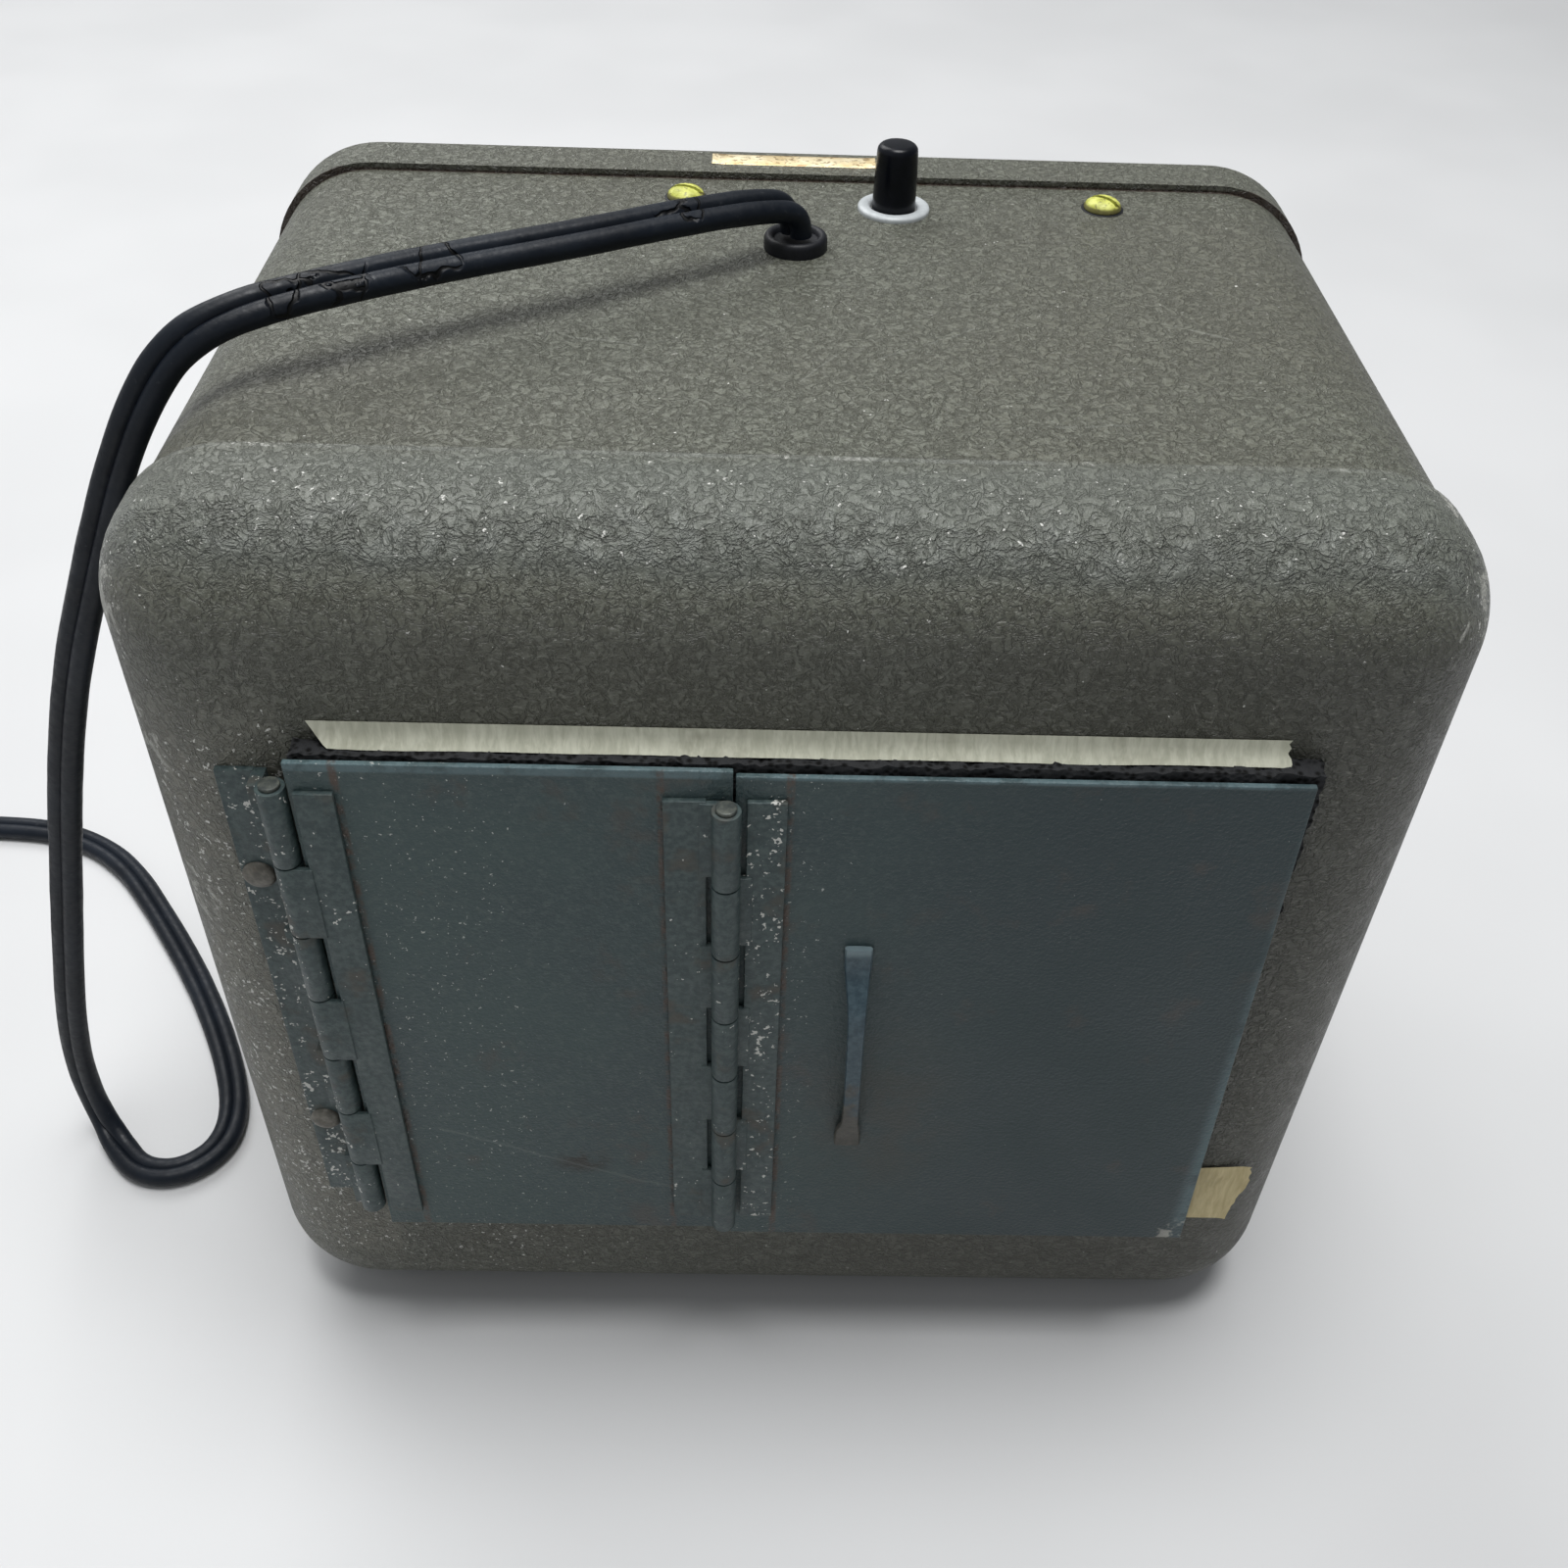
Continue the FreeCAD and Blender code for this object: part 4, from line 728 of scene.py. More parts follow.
def lead_line():
    """Points along the lead's centreline, taken off one smooth NURBS curve."""
    low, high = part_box("cord_plug")
    tail = (low.x / MM, (low.y + high.y) / 2 / MM, (low.z + high.z) / 2 / MM)
    climb = [(tail[0] - 21, tail[1] + 11, 9), (tail[0] - 13, tail[1] + 3, 13.5),
             (tail[0] - 4, tail[1], tail[2]), (tail[0] + 3, tail[1], tail[2])]
    route = CORD_ROUTE + coil_points() + climb
    curve = bpy.data.curves.new("lead_line", "CURVE")
    curve.dimensions = "3D"
    spline = curve.splines.new("NURBS")
    spline.points.add(len(route) - 1)
    for point, place in zip(spline.points, route):
        point.co = (*mm(*place), 1)
    spline.order_u = 3
    spline.use_endpoint_u = True
    spline.resolution_u = 9
    holder = bpy.data.objects.new("lead_line", curve)
    SCENE.collection.objects.link(holder)
    graph = bpy.context.evaluated_depsgraph_get()
    flat = bpy.data.meshes.new_from_object(holder.evaluated_get(graph))
    points = [vert.co.copy() for vert in flat.vertices]
    bpy.data.objects.remove(holder)
    return points


def facing(point, along):
    """Which way the flat of the lead looks: up where it lies, outward where it hangs."""
    steep = abs(along.z)
    if point.z > 0.15 and along.z >= 0:
        side = Vector((0.75, 0.66, 0))
    else:
        side = Vector((-0.35, -0.93, 0))
    lying = Vector((0.0, -0.55, 1.0)) if point.z > 0.15 else Vector((0, 0, 1))
    want = lying.normalized() * (1 - steep) + side * steep
    want -= along * want.dot(along)
    return want.normalized()


def lobe_section():
    """Two cores moulded side by side, with a narrow groove along each flat side."""
    core = CORD_THICK / 2
    groove = ((0.95, 0.985), (0.50, 0.91), (0.22, 0.78), (0.0, 0.66), (-0.22, 0.78), (-0.50, 0.91),
              (-0.95, 0.985))
    points = []
    for side in (1, -1):
        for step in range(11):
            angle = math.radians(-90 + 180 * step / 10)
            points.append((side * (LOBE_REACH + core * math.cos(angle)),
                           side * core * math.sin(angle)))
        points += [(side * across, side * core * up) for across, up in groove]
    return points


def make_cord():
    """The whole lead, from the grommet to its plug."""
    path = lead_line()
    section = lobe_section()
    rings = []
    for index, point in enumerate(path):
        before, after = path[max(index - 1, 0)], path[min(index + 1, len(path) - 1)]
        along = (after - before).normalized()
        up = facing(point, along)
        across = up.cross(along)
        # old insulation: a little uneven in thickness
        swell = 1 + 0.03 * noise.noise(point * 160)
        rings.append([point + (across * a + up * b) * MM * swell for a, b in section])
    lead = loft("power_lead", rings, MAT["cord"], "cabinet")
    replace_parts(lead, "power_cord", "cord_coil")
    return lead, path


def make_plug():
    """A moulded two-pin plug with a ribbed grip, its blades towards +X."""
    low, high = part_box("cord_plug")
    blade = 17 * MM
    start, end = low.x, high.x - blade
    middle_y, middle_z = (low.y + high.y) / 2, (low.z + high.z) / 2
    half_y, half_z = (high.y - low.y) / 2, (high.z - low.z) / 2
    stations = ((0.0, 0.30), (0.06, 0.42), (0.16, 0.60), (0.24, 0.66), (0.30, 0.74), (0.36, 0.70),
                (0.42, 0.80), (0.48, 0.76), (0.55, 0.88), (0.64, 0.94), (0.74, 0.99),
                (0.90, 1.0), (0.97, 0.99), (1.0, 0.93))
    rings = []
    for along, spread in stations:
        ring = []
        for step in range(28):
            angle = 2 * math.pi * step / 28
            across, up = math.cos(angle), math.sin(angle)
            bulge = (abs(across) ** 4 + abs(up) ** 4) ** -0.25
            ring.append(Vector((start + (end - start) * along,
                                middle_y + half_y * spread * across * bulge,
                                middle_z + half_z * (0.55 + 0.45 * spread) * up * bulge)))
        rings.append(ring)
    body = loft("plug_body", rings, MAT["rubber"], "cabinet")
    blades = []
    for side in (-1, 1):
        centre = middle_y + side * 6.35 * MM
        ring_sets = []
        for along, shrink in ((end - 0.001, 1.0), (high.x - 0.003, 1.0), (high.x - 0.0008, 0.8),
                              (high.x, 0.62)):
            tall, thin = 3.2 * MM * shrink, 0.75 * MM * (0.6 + 0.4 * shrink)
            ring_sets.append([Vector((along, centre + a * thin, middle_z + b * tall))
                              for a, b in ((-1, -1), (1, -1), (1, 1), (-1, 1))])
        blades.append(loft("plug_blade_%d" % (side + 2), ring_sets, MAT["brass"], "cabinet"))
    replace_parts(body, "cord_plug")
    for piece in blades:
        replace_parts(piece, "cord_plug")
    return [body, *blades]


lead, lead_path = make_cord()
plug = make_plug()

# ------------------------------------------------------------------ carried CAD nodes

# What the CAD nodes are made of that no piece below replaces.
FINISHES = {
    "casing": ("rear_pan", "body_sleeve", "front_bezel"),
    "zinc": ("chassis_tray", "rear_gear_plate", "front_gear_plate", "receiver_shelf",
             "top_bracket"),
    "cut_steel": ("plate_spacers", "idler_axle", "motor_pinion"),
    "brass": ("idler_gear", "output_gear"),
    "bronze": ("shaft_bushes",),
    "motor": ("motor_can",),
    "copper": ("stator_winding",),
    "core": ("motor_rotor",),
    "paper": ("transformer_coil",),
    "relay": ("control_relay", "relay_armature"),
    "can": ("run_capacitor",),
    "bakelite": ("terminal_strip", "valve_sockets", "button_switch", "limit_switch", "limit_cam"),
    "plated": ("terminal_screws",),
    "bulb": ("lamp_bulb",),
    "ceramic": ("lamp_socket",),
}
for finish, names in FINISHES.items():
    for name in names:
        mesh = NODE[name].data
        mesh.materials.clear()
        mesh.materials.append(MAT[finish])

# ------------------------------------------------------------------ door side pieces

def strap_ring(centre, across, out, half_width, half_thick, count=12):
    """A rounded rectangular section of a strap."""
    ring = []
    for step in range(count):
        angle = 2 * math.pi * (step + 0.5) / count
        a, b = math.cos(angle), math.sin(angle)
        bulge = (abs(a) ** 5 + abs(b) ** 5) ** -0.2
        ring.append(centre + across * a * bulge * half_width * MM + out * b * bulge * half_thick * MM)
    return ring


def make_pull():
    """A strip bent off the door plate, with flared feet pressed flat."""
    low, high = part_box("pull_handle")
    tall, painted_rim_shade = high.z - low.z, high.y - low.y
    centre_x = (low.x + high.x) / 2
    thick = 0.55
    stations = ((0.0, 0.0, 2.2), (0.04, 0.0, 2.25), (0.08, 0.02, 2.2), (0.115, 0.12, 2.05),
                (0.15, 0.36, 1.85), (0.185, 0.66, 1.65), (0.225, 0.87, 1.5), (0.28, 0.96, 1.42),
                (0.38, 1.0, 1.38), (0.5, 1.0, 1.36), (0.62, 0.98, 1.38), (0.72, 0.93, 1.42),
                (0.78, 0.82, 1.5), (0.825, 0.6, 1.65), (0.86, 0.33, 1.85), (0.895, 0.12, 2.05),
                (0.93, 0.02, 2.25), (0.965, 0.0, 2.35), (1.0, 0.0, 2.3))
    spine = []
    for down, lift, half_width in stations:
        drift = (-0.2 + 0.9 * down) * MM
        out = high.y - thick * MM - lift * (painted_rim_shade - 2 * thick * MM)
        spine.append((Vector((centre_x + drift, out, high.z - down * tall)), half_width))
    rings = []
    for index, (point, half_width) in enumerate(spine):
        before = spine[max(index - 1, 0)][0]
        after = spine[min(index + 1, len(spine) - 1)][0]
        along = (after - before).normalized()
        across = Vector((1, 0, 0))
        rings.append(strap_ring(point, across, along.cross(across), half_width, thick))
    pull = loft("pull_strap", rings, MAT["pull"], "right_door")
    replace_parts(pull, "pull_handle")


def rect_point(low, high, side, along):
    """A point along one side of an upright rectangle, going round from its lower left."""
    corners = ((low[0], low[1]), (high[0], low[1]), (high[0], high[1]), (low[0], high[1]))
    start, end = corners[side], corners[(side + 1) % 4]
    return (start[0] + (end[0] - start[0]) * along, start[1] + (end[1] - start[1]) * along)


def make_foam():
    """Cut foam strip all round the opening: crumbly edges, dents and torn cells."""
    low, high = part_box("foam_seal")
    inner_low, inner_high = (-0.066, 0.046), (0.070, 0.150)
    outer_low, outer_high = (low.x, low.z), (high.x, high.z)
    face, back = low.y, high.y
    rings = []
    for side in range(4):
        steps = 150 if side % 2 == 0 else 130
        for step in range(steps):
            along = step / steps
            inner = rect_point(inner_low, inner_high, side, along)
            outer = rect_point(outer_low, outer_high, side, along)
            ring = []
            section = [(u / 5, 0) for u in range(6)] + [(1, 0.35), (1, 0.7)]
            section += [(u / 5, 1) for u in range(5, -1, -1)] + [(0, 0.7), (0, 0.35)]
            for u, v in section:
                place = Vector((inner[0] + (outer[0] - inner[0]) * u, face + (back - face) * v,
                                inner[1] + (outer[1] - inner[1]) * u))
                rough = noise.noise_vector(place * 900) * 0.0005
                rough += noise.noise_vector(place * 260) * 0.0006 * (1 - v)
                if v == 1:
                    rough.y = 0
                rough.y = max(rough.y, -0.0001)
                ring.append(place + rough)
            rings.append(ring)
    foam = loft("foam_strip", rings, MAT["foam"], "cabinet", closed=True)
    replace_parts(foam, "foam_seal")


def sheet_from_grid(name, rows, thick, material, node):
    """A thin closed sheet: a grid of points, given its thickness towards the door side."""
    high, wide = len(rows), len(rows[0])
    front = [point + Vector((0, -thick * 0.7, thick * 0.7)) for row in rows for point in row]
    back = [point for row in rows for point in row]
    verts = front + back
    shift = high * wide
    faces = []
    for j in range(high - 1):
        for i in range(wide - 1):
            a = j * wide + i
            quad = (a, a + 1, a + wide + 1, a + wide)
            faces.append(quad)
            faces.append(tuple(shift + corner for corner in reversed(quad)))
    rim = list(range(wide)) + [j * wide + wide - 1 for j in range(1, high)]
    rim += [(high - 1) * wide + i for i in range(wide - 2, -1, -1)]
    rim += [j * wide for j in range(high - 2, 0, -1)]
    for here, after in zip(rim, rim[1:] + rim[:1]):
        faces.append((here, after, shift + after, shift + here))
    piece = new_mesh(name, verts, faces, material, "cabinet")
    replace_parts(piece, node)


def make_tape_strip():
    """Masking tape over the foam's top edge, slanted at one end and torn at the other."""
    low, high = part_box("tape_strip")
    face = high.y
    profile = ((0.0, 0.0), (0.00012, -0.0006), (0.00028, -0.0013), (0.0006, -0.0020),
               (0.0011, -0.0026), (0.0017, -0.0031), (0.0022, -0.0034))
    columns = 190
    rows = []
    for level, (out, drop) in enumerate(profile):
        share = level / (len(profile) - 1)
        left = low.x + 0.0006 + 0.0030 * share ** 1.3
        torn = noise.noise(Vector((3, share * 3.1, 0))) * 0.0012
        torn += noise.noise(Vector((7, share * 9.0, 0))) * 0.0005
        right = high.x - 0.0004 + torn
        row = []
        for column in range(columns + 1):
            x = left + (right - left) * column / columns
            crepe = noise.noise(Vector((x * 900, level * 0.6, 5))) * 0.00005
            wave = noise.noise(Vector((x * 45, level * 0.2, 9))) * 0.00018 * share
            sag = noise.noise(Vector((x * 60, 2, 4))) * 0.0003 * share
            row.append(Vector((x, face - 0.00008 - out - crepe - wave, high.z + drop + sag)))
        rows.append(row)
    sheet_from_grid("tape_band", rows, 0.00013, MAT["tape"], "tape_strip")


def make_tape_patch():
    """A torn square of tape beside the door's lower corner, doubled over at the top."""
    low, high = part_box("tape_patch")
    wide, tall = high.x - low.x, high.z - low.z
    right_edge = ((0.0, 0.86), (0.15, 0.87), (0.3, 0.89), (0.42, 0.93), (0.55, 0.96), (0.68, 0.995),
                  (0.8, 0.99), (0.9, 0.97), (1.0, 0.965))
    rows = []
    steps = 26
    for j in range(steps + 1):
        up = j / steps
        for (a, left_reach), (b, right_reach) in zip(right_edge, right_edge[1:]):
            if a <= up <= b:
                reach = left_reach + (right_reach - left_reach) * (up - a) / (b - a)
        reach += noise.noise(Vector((up * 14, 4, 2))) * 0.035
        row = []
        for i in range(19):
            along = i / 18
            x = low.x + wide * (0.16 + (reach - 0.16) * along)
            z = low.z + tall * (0.01 + 0.97 * up) + tall * 0.05 * up * (along - 0.6)
            fold = 0.00022 if up > 0.62 + 0.3 * (1 - along) else 0.0
            lift = 0.0005 * max(along - 0.85, 0) / 0.15 * (0.5 + noise.noise(Vector((up * 6, 1, 1))))
            row.append(Vector((x, high.y - 0.00008 - fold - max(lift, 0), z)))
        rows.append(row)
    sheet_from_grid("tape_square", rows, 0.00012, MAT["patch"], "tape_patch")


def make_rivets():
    """Two domed rivet heads on the casing leaf, a little off round."""
    low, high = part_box("side_hinge_rivets")
    x = (low.x + high.x) / 2
    radius = (high.x - low.x) / 2 / MM
    for number, z in enumerate((low.z + radius * MM, high.z - radius * MM)):
        outline = ((0, -1.0), (radius, -1.0), (radius, 0.12), (radius * 0.97, 0.38),
                   (radius * 0.86, 0.68), (radius * 0.62, 0.92), (radius * 0.3, 1.04), (0, 1.07))
        head = lathe("leaf_rivet_%d" % (number + 1), outline, (x, low.y + 1.1 * MM, z),
                     MAT["steel"], "cabinet", axis=(0, -1, 0), steps=32)
        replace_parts(head, "side_hinge_rivets")


make_pull()
make_foam()
make_tape_strip()
make_tape_patch()
make_rivets()
for node, finish, body, slot, width, segments in (
        ("left_door_plate", "door", "left_door", "door_paint", 0.22, 3),
        ("right_door_plate", "door", "right_door", "door_paint", 0.22, 3),
        ("side_hinge_casing_leaf", "hinge", "cabinet", "hinge_paint", 0.16, 2),
        ("side_hinge_door_leaf", "hinge", "left_door", "hinge_paint", 0.16, 2),
        ("fold_hinge_left_leaf", "hinge", "left_door", "hinge_paint", 0.16, 2),
        ("fold_hinge_right_leaf", "hinge", "right_door", "hinge_paint", 0.16, 2),
        ("side_hinge_pin", "pin", "cabinet", "rivet_steel", 0.25, 3),
        ("fold_hinge_pin", "pin", "left_door", "rivet_steel", 0.25, 3)):
    softened(node, MAT[finish], body, width, segments)

# ------------------------------------------------------------------ top pieces

def round_at(node):
    """Centre and both heights of an upright round node in metres; its radius in millimetres."""
    low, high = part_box(node)
    return (low.x + high.x) / 2, (low.y + high.y) / 2, (high.x - low.x) / 2 / MM, low.z, high.z


def make_button():
    """A plunger cap with a rounded crown."""
    x, y, radius, foot, top = round_at("push_button")
    tall = (top - foot) / MM
    outline = [(0, 0), (2, 0), (2, tall - 19.2), (radius, tall - 19.2), (radius, tall - 11),
               (radius - 0.12, tall - 5), (radius - 0.28, tall - 1.4)]
    for step in range(1, 8):
        angle = math.radians(90 * step / 7)
        outline.append((radius - 1.58 + 1.3 * math.cos(angle), tall - 1.4 + 1.28 * math.sin(angle)))
    outline += [(radius * 0.35, tall - 0.04), (0, tall)]
    cap = lathe("button_cap", outline, (x, y, foot), MAT["black"], "button",
                steps=64)
    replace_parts(cap, "push_button")


def make_collar():
    """The white ring round the button, and the threaded bush under it."""
    x, y, _, foot, top = round_at("button_collar")
    tall = (top - foot) / MM
    bore, rim = 4.25, 6.65
    ring = lathe("button_ring", ((bore, tall - 1.0), (rim, tall - 1.0), (rim, tall - 0.55),
                                 (rim - 0.12, tall - 0.3), (rim - 0.45, tall - 0.12),
                                 (rim - 0.9, tall), (bore + 0.75, tall - 0.02),
                                 (bore + 0.4, tall - 0.16), (bore + 0.12, tall - 0.4)),
                 (x, y, foot), MAT["white"], "cabinet", steps=72)
    thread = [(bore - 0.2, 0), (5.2, 0)]
    for turn in range(22):
        thread += [(5.38, 0.3 + turn * 0.57), (5.12, 0.58 + turn * 0.57)]
    thread += [(5.2, tall - 1.0), (bore - 0.2, tall - 1.0)]
    bush = lathe("button_bush", thread, (x, y, foot), MAT["zinc"], "cabinet")
    for piece in (ring, bush):
        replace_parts(piece, "button_collar")


def make_grommet():
    """A moulded ring with a hollow mouth that the lead comes out of."""
    x, y, radius, foot, top = round_at("cord_grommet")
    tall = (top - foot) / MM
    outline = ((0, 0), (radius, 0), (radius, 2.2), (4.1, 2.4), (4.1, 3.7), (radius, 3.85),
               (radius, tall - 0.9), (radius - 0.1, tall - 0.5), (radius - 0.35, tall - 0.15),
               (radius - 0.75, tall), (radius - 1.15, tall - 0.08), (radius - 1.5, tall - 0.4),
               (radius - 1.7, tall - 1.0), (0, tall - 1.2))
    ring = lathe("grommet_ring", outline, (x, y, foot), MAT["rubber"], "cabinet")
    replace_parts(ring, "cord_grommet")


def make_screws():
    """Round heads with a slot, daubed with paint, over a thin dark washer."""
    low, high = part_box("cabinet_screws")
    radius = 3.5
    skin = 190.75 * MM
    for number, (x, turn) in enumerate(((low.x + radius * MM, -18), (high.x - radius * MM, -38))):
        y = (low.y + high.y) / 2
        outline = ((0, -9.9), (1.9, -9.9), (1.9, 0.05), (radius - 0.25, 0.05), (radius, 0.25),
                   (radius - 0.02, 0.6), (radius - 0.35, 1.15), (radius - 0.95, 1.65),
                   (radius - 1.8, 2.02), (radius - 2.7, 2.17), (0, 2.2))
        head = lathe("screw_head_%d" % (number + 1), outline, (x, y, skin), MAT["yellow"],
                     "cabinet", steps=48)
        slot = bpy.data.meshes.new("slot")
        work = bmesh.new()
        bmesh.ops.create_cube(work, size=1, matrix=Matrix.Translation((x, y, skin + 2.25 * MM))
                              @ Matrix.Rotation(math.radians(turn), 4, "Z")
                              @ Matrix.Diagonal((12 * MM, 1.0 * MM, 2.5 * MM, 1)))
        work.to_mesh(slot)
        work.free()
        cutter = bpy.data.objects.new("slot", slot)
        SCENE.collection.objects.link(cutter)
        carve = head.modifiers.new("slot", "BOOLEAN")
        carve.operation = "DIFFERENCE"
        carve.solver = "EXACT"
        carve.object = cutter
        settle(head)
        bpy.data.objects.remove(cutter)
        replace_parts(head, "cabinet_screws")
        washer = lathe("screw_washer_%d" % (number + 1),
                       ((2.2, -0.02), (3.9, -0.02), (3.95, 0.06), (3.8, 0.13), (2.2, 0.13)),
                       (x, y, skin), MAT["rubber"], "cabinet", steps=48)
        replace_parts(washer, "cabinet_screws")


def make_badge():
    """A blank foil strip, its ends lifting a little."""
    low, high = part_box("name_badge")
    rings = []
    for step in range(41):
        along = step / 40
        curl = 0.00012 * max(abs(along - 0.5) - 0.42, 0) / 0.08
        ripple = noise.noise(Vector((along * 9, 2, 2))) * 0.00005
        x = low.x + (high.x - low.x) * along
        base = low.z + max(curl + ripple, 0)
        top = base + 0.00018
        rings.append([Vector((x, low.y, base)), Vector((x, high.y, base)),
                      Vector((x, high.y, top)), Vector((x, low.y + 0.0002, top))])
    strip = loft("badge_strip", rings, MAT["badge"], "cabinet")
    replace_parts(strip, "name_badge")


make_button()
make_collar()
make_grommet()
make_screws()
make_badge()

# ------------------------------------------------------------------ output side pieces

def make_lens():
    """A moulded lens: a flange behind the panel and upright flutes on its face."""
    low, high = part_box("light_lens")
    flange, thick = 3.2 * MM, 1.0 * MM
    left, right = low.x + flange, high.x - flange
    foot, top = low.z + flange, high.z - flange
    pitch = 3.1 * MM
    flutes = int((right - left - 2 * MM) / pitch)
    margin = (right - left - flutes * pitch) / 2
    crown = []
    for step in range(flutes * 8 + 1):
        along = step / 8 * pitch
        crown.append((left + margin + along, 0.55 * MM * abs(math.sin(math.pi * along / pitch))))
    crown = [(left, 0.0), (left + margin * 0.5, 0.0), *crown, (right - margin * 0.5, 0.0),
             (right, 0.0)]
    face = high.y - 0.55 * MM
    levels = ((foot, -0.25), (foot + 0.4 * MM, 0.0), (foot + 1.2 * MM, 0.0), (foot + 1.8 * MM, 1.0),
              (top - 1.8 * MM, 1.0), (top - 1.2 * MM, 0.0), (top - 0.4 * MM, 0.0), (top, -0.25))
    rings = [[Vector((x, low.y + 0.4 * MM, foot)) for x, _ in crown]]
    for z, flute in levels:
        dip = 0.4 * MM * min(flute, 0) / 0.25
        rings.append([Vector((x, face + dip + rise * max(flute, 0), z)) for x, rise in crown])
    rings.append([Vector((x, low.y + 0.4 * MM, top)) for x, _ in crown])
    wide = len(crown)
    verts = [point for ring in rings for point in ring]
    faces = []
    for j in range(len(rings)):
        after = (j + 1) % len(rings)
        for i in range(wide - 1):
            faces.append((j * wide + i, j * wide + i + 1, after * wide + i + 1, after * wide + i))
    faces.append(tuple(j * wide for j in range(len(rings))))
    faces.append(tuple(j * wide + wide - 1 for j in reversed(range(len(rings)))))
    window = new_mesh("lens_flutes", verts, faces, MAT["lens"], "cabinet")
    rim = [(low.x, low.z), (high.x, low.z), (high.x, high.z), (low.x, high.z)]
    inner = [(left, foot), (right, foot), (right, top), (left, top)]
    section = []
    for (ox, oz), (ix, iz) in zip(rim, inner):
        section.append([Vector((ox, low.y, oz)), Vector((ox, low.y + thick * 0.9, oz)),
                        Vector((ix, low.y + thick * 0.9, iz)), Vector((ix, low.y, iz))])
    frame_piece = loft("lens_flange", section, MAT["lens"], "cabinet", closed=True)
    for piece in (window, frame_piece):
        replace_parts(piece, "light_lens")


def make_panel_screws():
    """Small dome screws at the corners of the closing panel, hidden in the bezel's flange."""
    low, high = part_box("front_panel")
    inset = 7 * MM
    outline = ((0, 0), (2.7, 0), (2.7, 0.25), (2.5, 0.75), (2.0, 1.05), (1.1, 1.18), (0.8, 1.0),
               (0.8, 0.7), (0, 0.7))
    places = [(x, high.y - 0.02 * MM, z) for x in (low.x + inset, high.x - inset)
              for z in (low.z + inset, high.z - inset)]
    for number, place in enumerate(places, 1):
        lathe("panel_screw_%d" % number, outline, place, MAT["zinc"], "cabinet",
              axis=(0, 1, 0), steps=28)


def make_valves():
    """Glass envelopes with a domed top and pip, round a plate and two micas."""
    low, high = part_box("receiver_valves")
    radius = (high.y - low.y) / 2 / MM
    tall = (high.z - low.z) / MM
    y = (low.y + high.y) / 2
    for number in range(3):
        x = low.x + (high.x - low.x - 2 * radius * MM) * number / 2 + radius * MM
        outline = [(0, 0.2), (radius - 1.2, 0.2), (radius - 0.3, 1.0), (radius - 0.1, 3.0),
                   (radius - 0.1, tall - 7.5)]
        for step in range(1, 8):
            angle = math.radians(12 * step)
            outline.append(((radius - 0.1) * math.cos(angle), tall - 7.5 + 5.6 * math.sin(angle)))
        outline += [(0.9, tall - 1.6), (0.5, tall - 0.3), (0, tall - 0.05)]
        glass = lathe("valve_glass_%d" % (number + 1), outline, (x, y, low.z), MAT["valve"],
                      "cabinet", steps=40)
        plate = [(2.9, 6.5), (3.6, 6.5), (3.6, 8), (3.25, 8.4), (3.25, 19.6), (3.6, 20), (3.6, 21.5),
                 (2.9, 21.5)]
        anode = lathe("valve_plate_%d" % (number + 1), plate, (x, y, low.z), MAT["graphite"],
                      "cabinet", steps=24)
        micas = []
        for level in (5.2, 22.2):
            disc = ((0, level), (radius - 1.9, level), (radius - 1.9, level + 0.35),
                    (0, level + 0.35))
            micas.append(lathe("valve_mica_%d_%d" % (number + 1, int(level)), disc, (x, y, low.z),
                               MAT["ceramic"], "cabinet", steps=20))
        for piece in (glass, anode, *micas):
            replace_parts(piece, "receiver_valves")


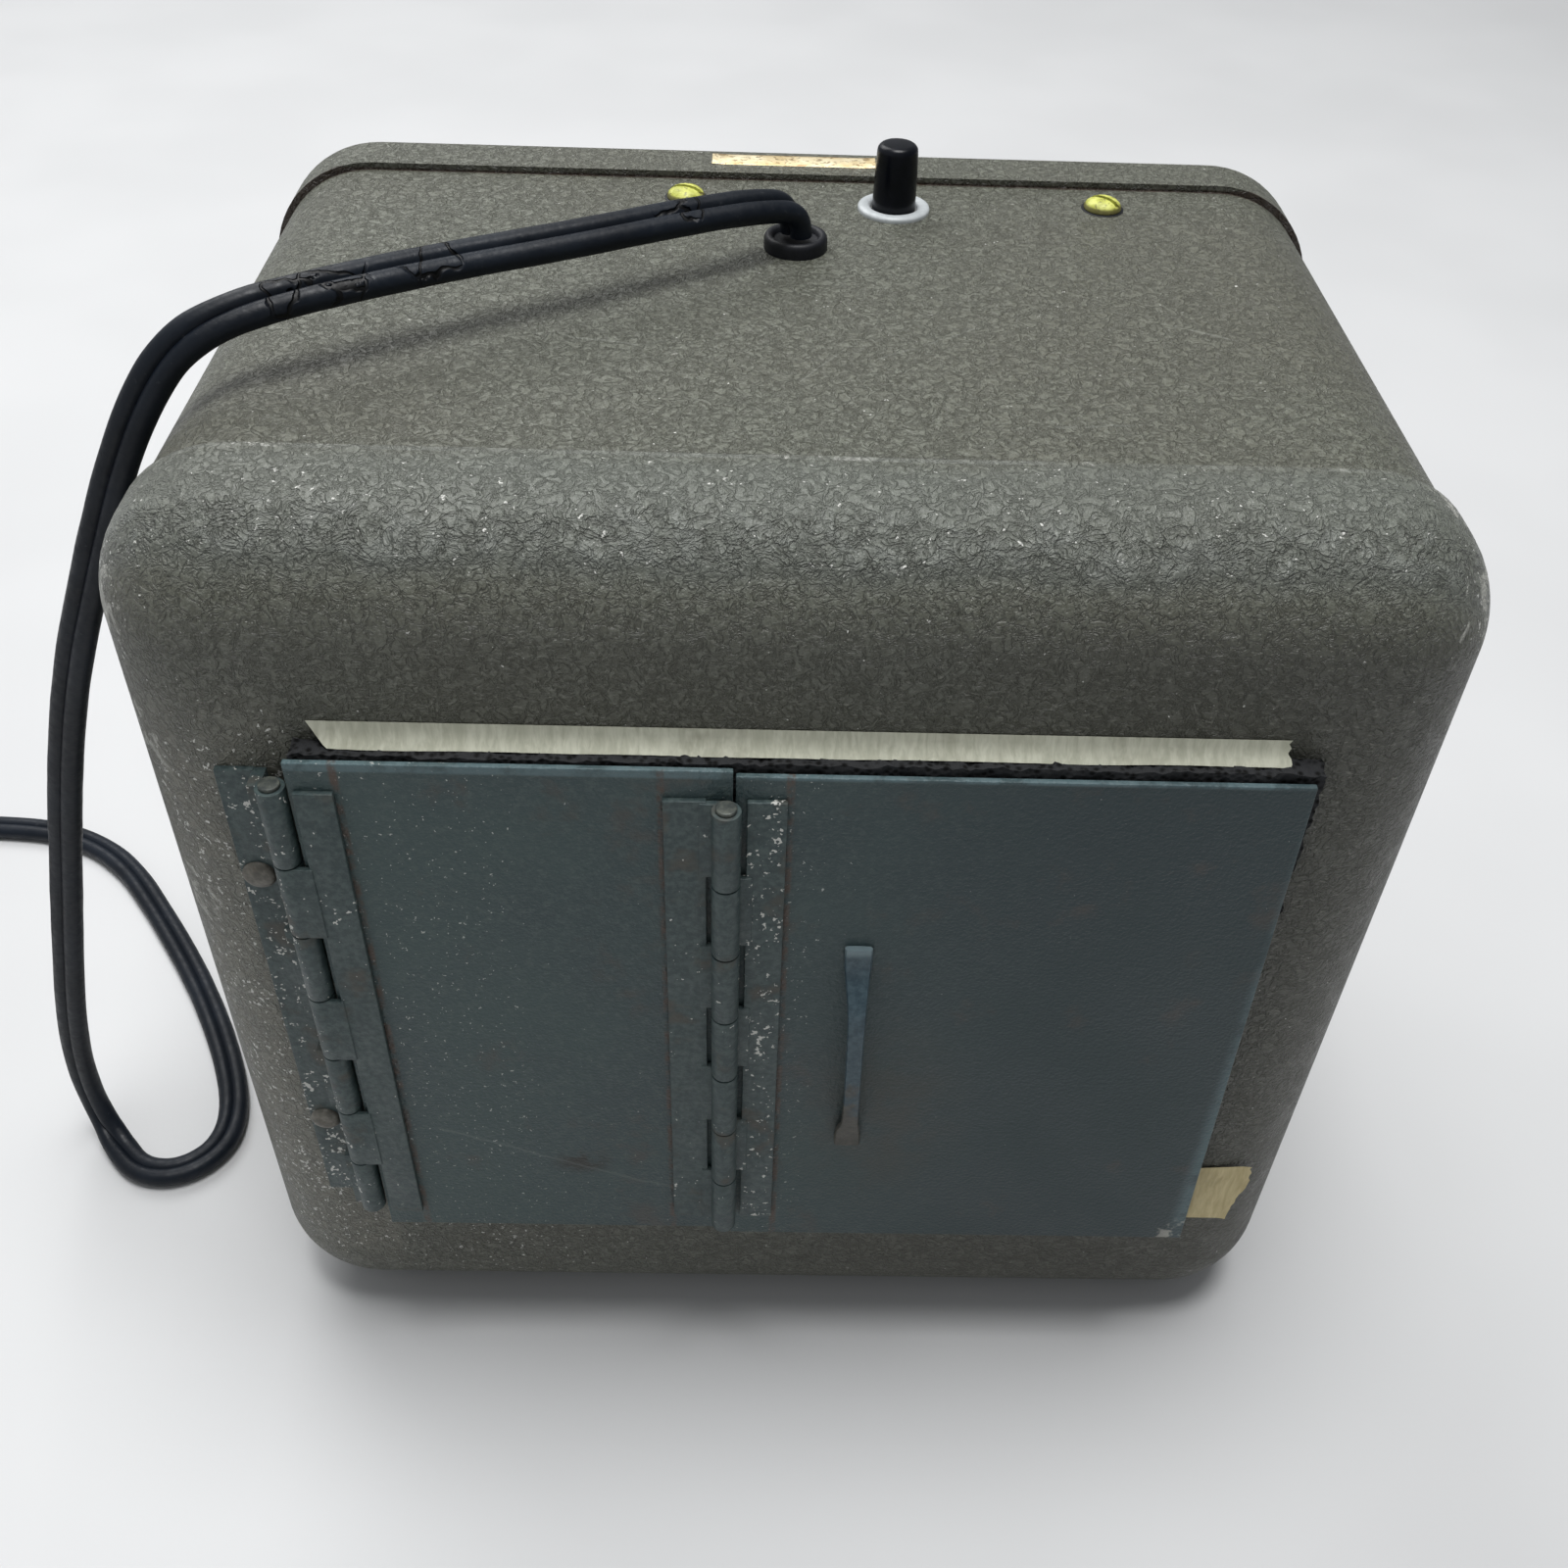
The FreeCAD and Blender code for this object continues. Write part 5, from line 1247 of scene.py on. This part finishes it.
make_lens()
make_panel_screws()
make_valves()
for node, finish, body, slot, width in (
        ("front_panel", "panel", "cabinet", "panel_paint", 0.2),
        ("output_sprocket", "cut_steel", "output_drive", "gear_steel", 0.25),
        ("output_shaft", "cut_steel", "output_drive", "shaft_steel", 0.4),
        ("motor_end_bells", "motor", "cabinet", "motor_paint", 0.4),
        ("transformer_core", "core", "cabinet", "core_iron", 0.3),
        ("motor_fan", "fibre", "motor_drive", "fan_fibre", 0.25),
        ("base_plate", "zinc", "cabinet", "zinc_steel", 0.3)):
    softened(node, MAT[finish], body, width, 2)

# ------------------------------------------------------------------ floor and light

def make_floor():
    """A wide near-white table top, which belongs to the picture and not to the object."""
    bpy.ops.mesh.primitive_plane_add(size=8, location=(0, 1.5, 0))
    floor = bpy.context.object
    floor.name = "floor"
    shade = Shade("floor_white", specular=0.3)
    tone = shade.mix(shade.band(shade.noise(9, 2), 0.3, 0.7), (0.60, 0.605, 0.61), (0.63, 0.635, 0.64))
    shade.bump(shade.noise(700, 2), 0.02)
    floor.data.materials.append(shade.finish(tone, 0.55))


def area_light(name, place, aim, size, power, colour=(1, 1, 1)):
    data = bpy.data.lights.new(name, "AREA")
    data.shape = "DISK"
    data.size = size
    data.energy = power
    data.color = colour
    light = bpy.data.objects.new(name, data)
    light.location = place
    heading = Vector(aim) - Vector(place)
    light.rotation_euler = heading.to_track_quat("-Z", "Y").to_euler()
    SCENE.collection.objects.link(light)


def light_scene():
    """Soft light from all round, stronger from the left, and two large soft boxes."""
    world = bpy.data.worlds.new("studio")
    SCENE.world = world
    world.use_nodes = True
    nodes, links = world.node_tree.nodes, world.node_tree.links
    back = nodes["Background"]
    back.inputs["Color"].default_value = (0.955, 0.975, 1.0, 1)
    heading = nodes.new("ShaderNodeTexCoord")
    split = nodes.new("ShaderNodeSeparateXYZ")
    slope = nodes.new("ShaderNodeMapRange")
    slope.inputs["From Min"].default_value = -0.9
    slope.inputs["From Max"].default_value = 0.9
    slope.inputs["To Min"].default_value = 0.46
    slope.inputs["To Max"].default_value = 0.14
    links.new(heading.outputs["Generated"], split.inputs[0])
    links.new(split.outputs["X"], slope.inputs["Value"])
    links.new(slope.outputs[0], back.inputs["Strength"])
    area_light("key", (0.08, -0.02, 1.9), (0, -0.05, 0.1), 0.9, 32)
    area_light("back", (-0.55, 0.85, 1.1), (-0.05, 0, 0.15), 0.9, 8)


make_floor()
light_scene()
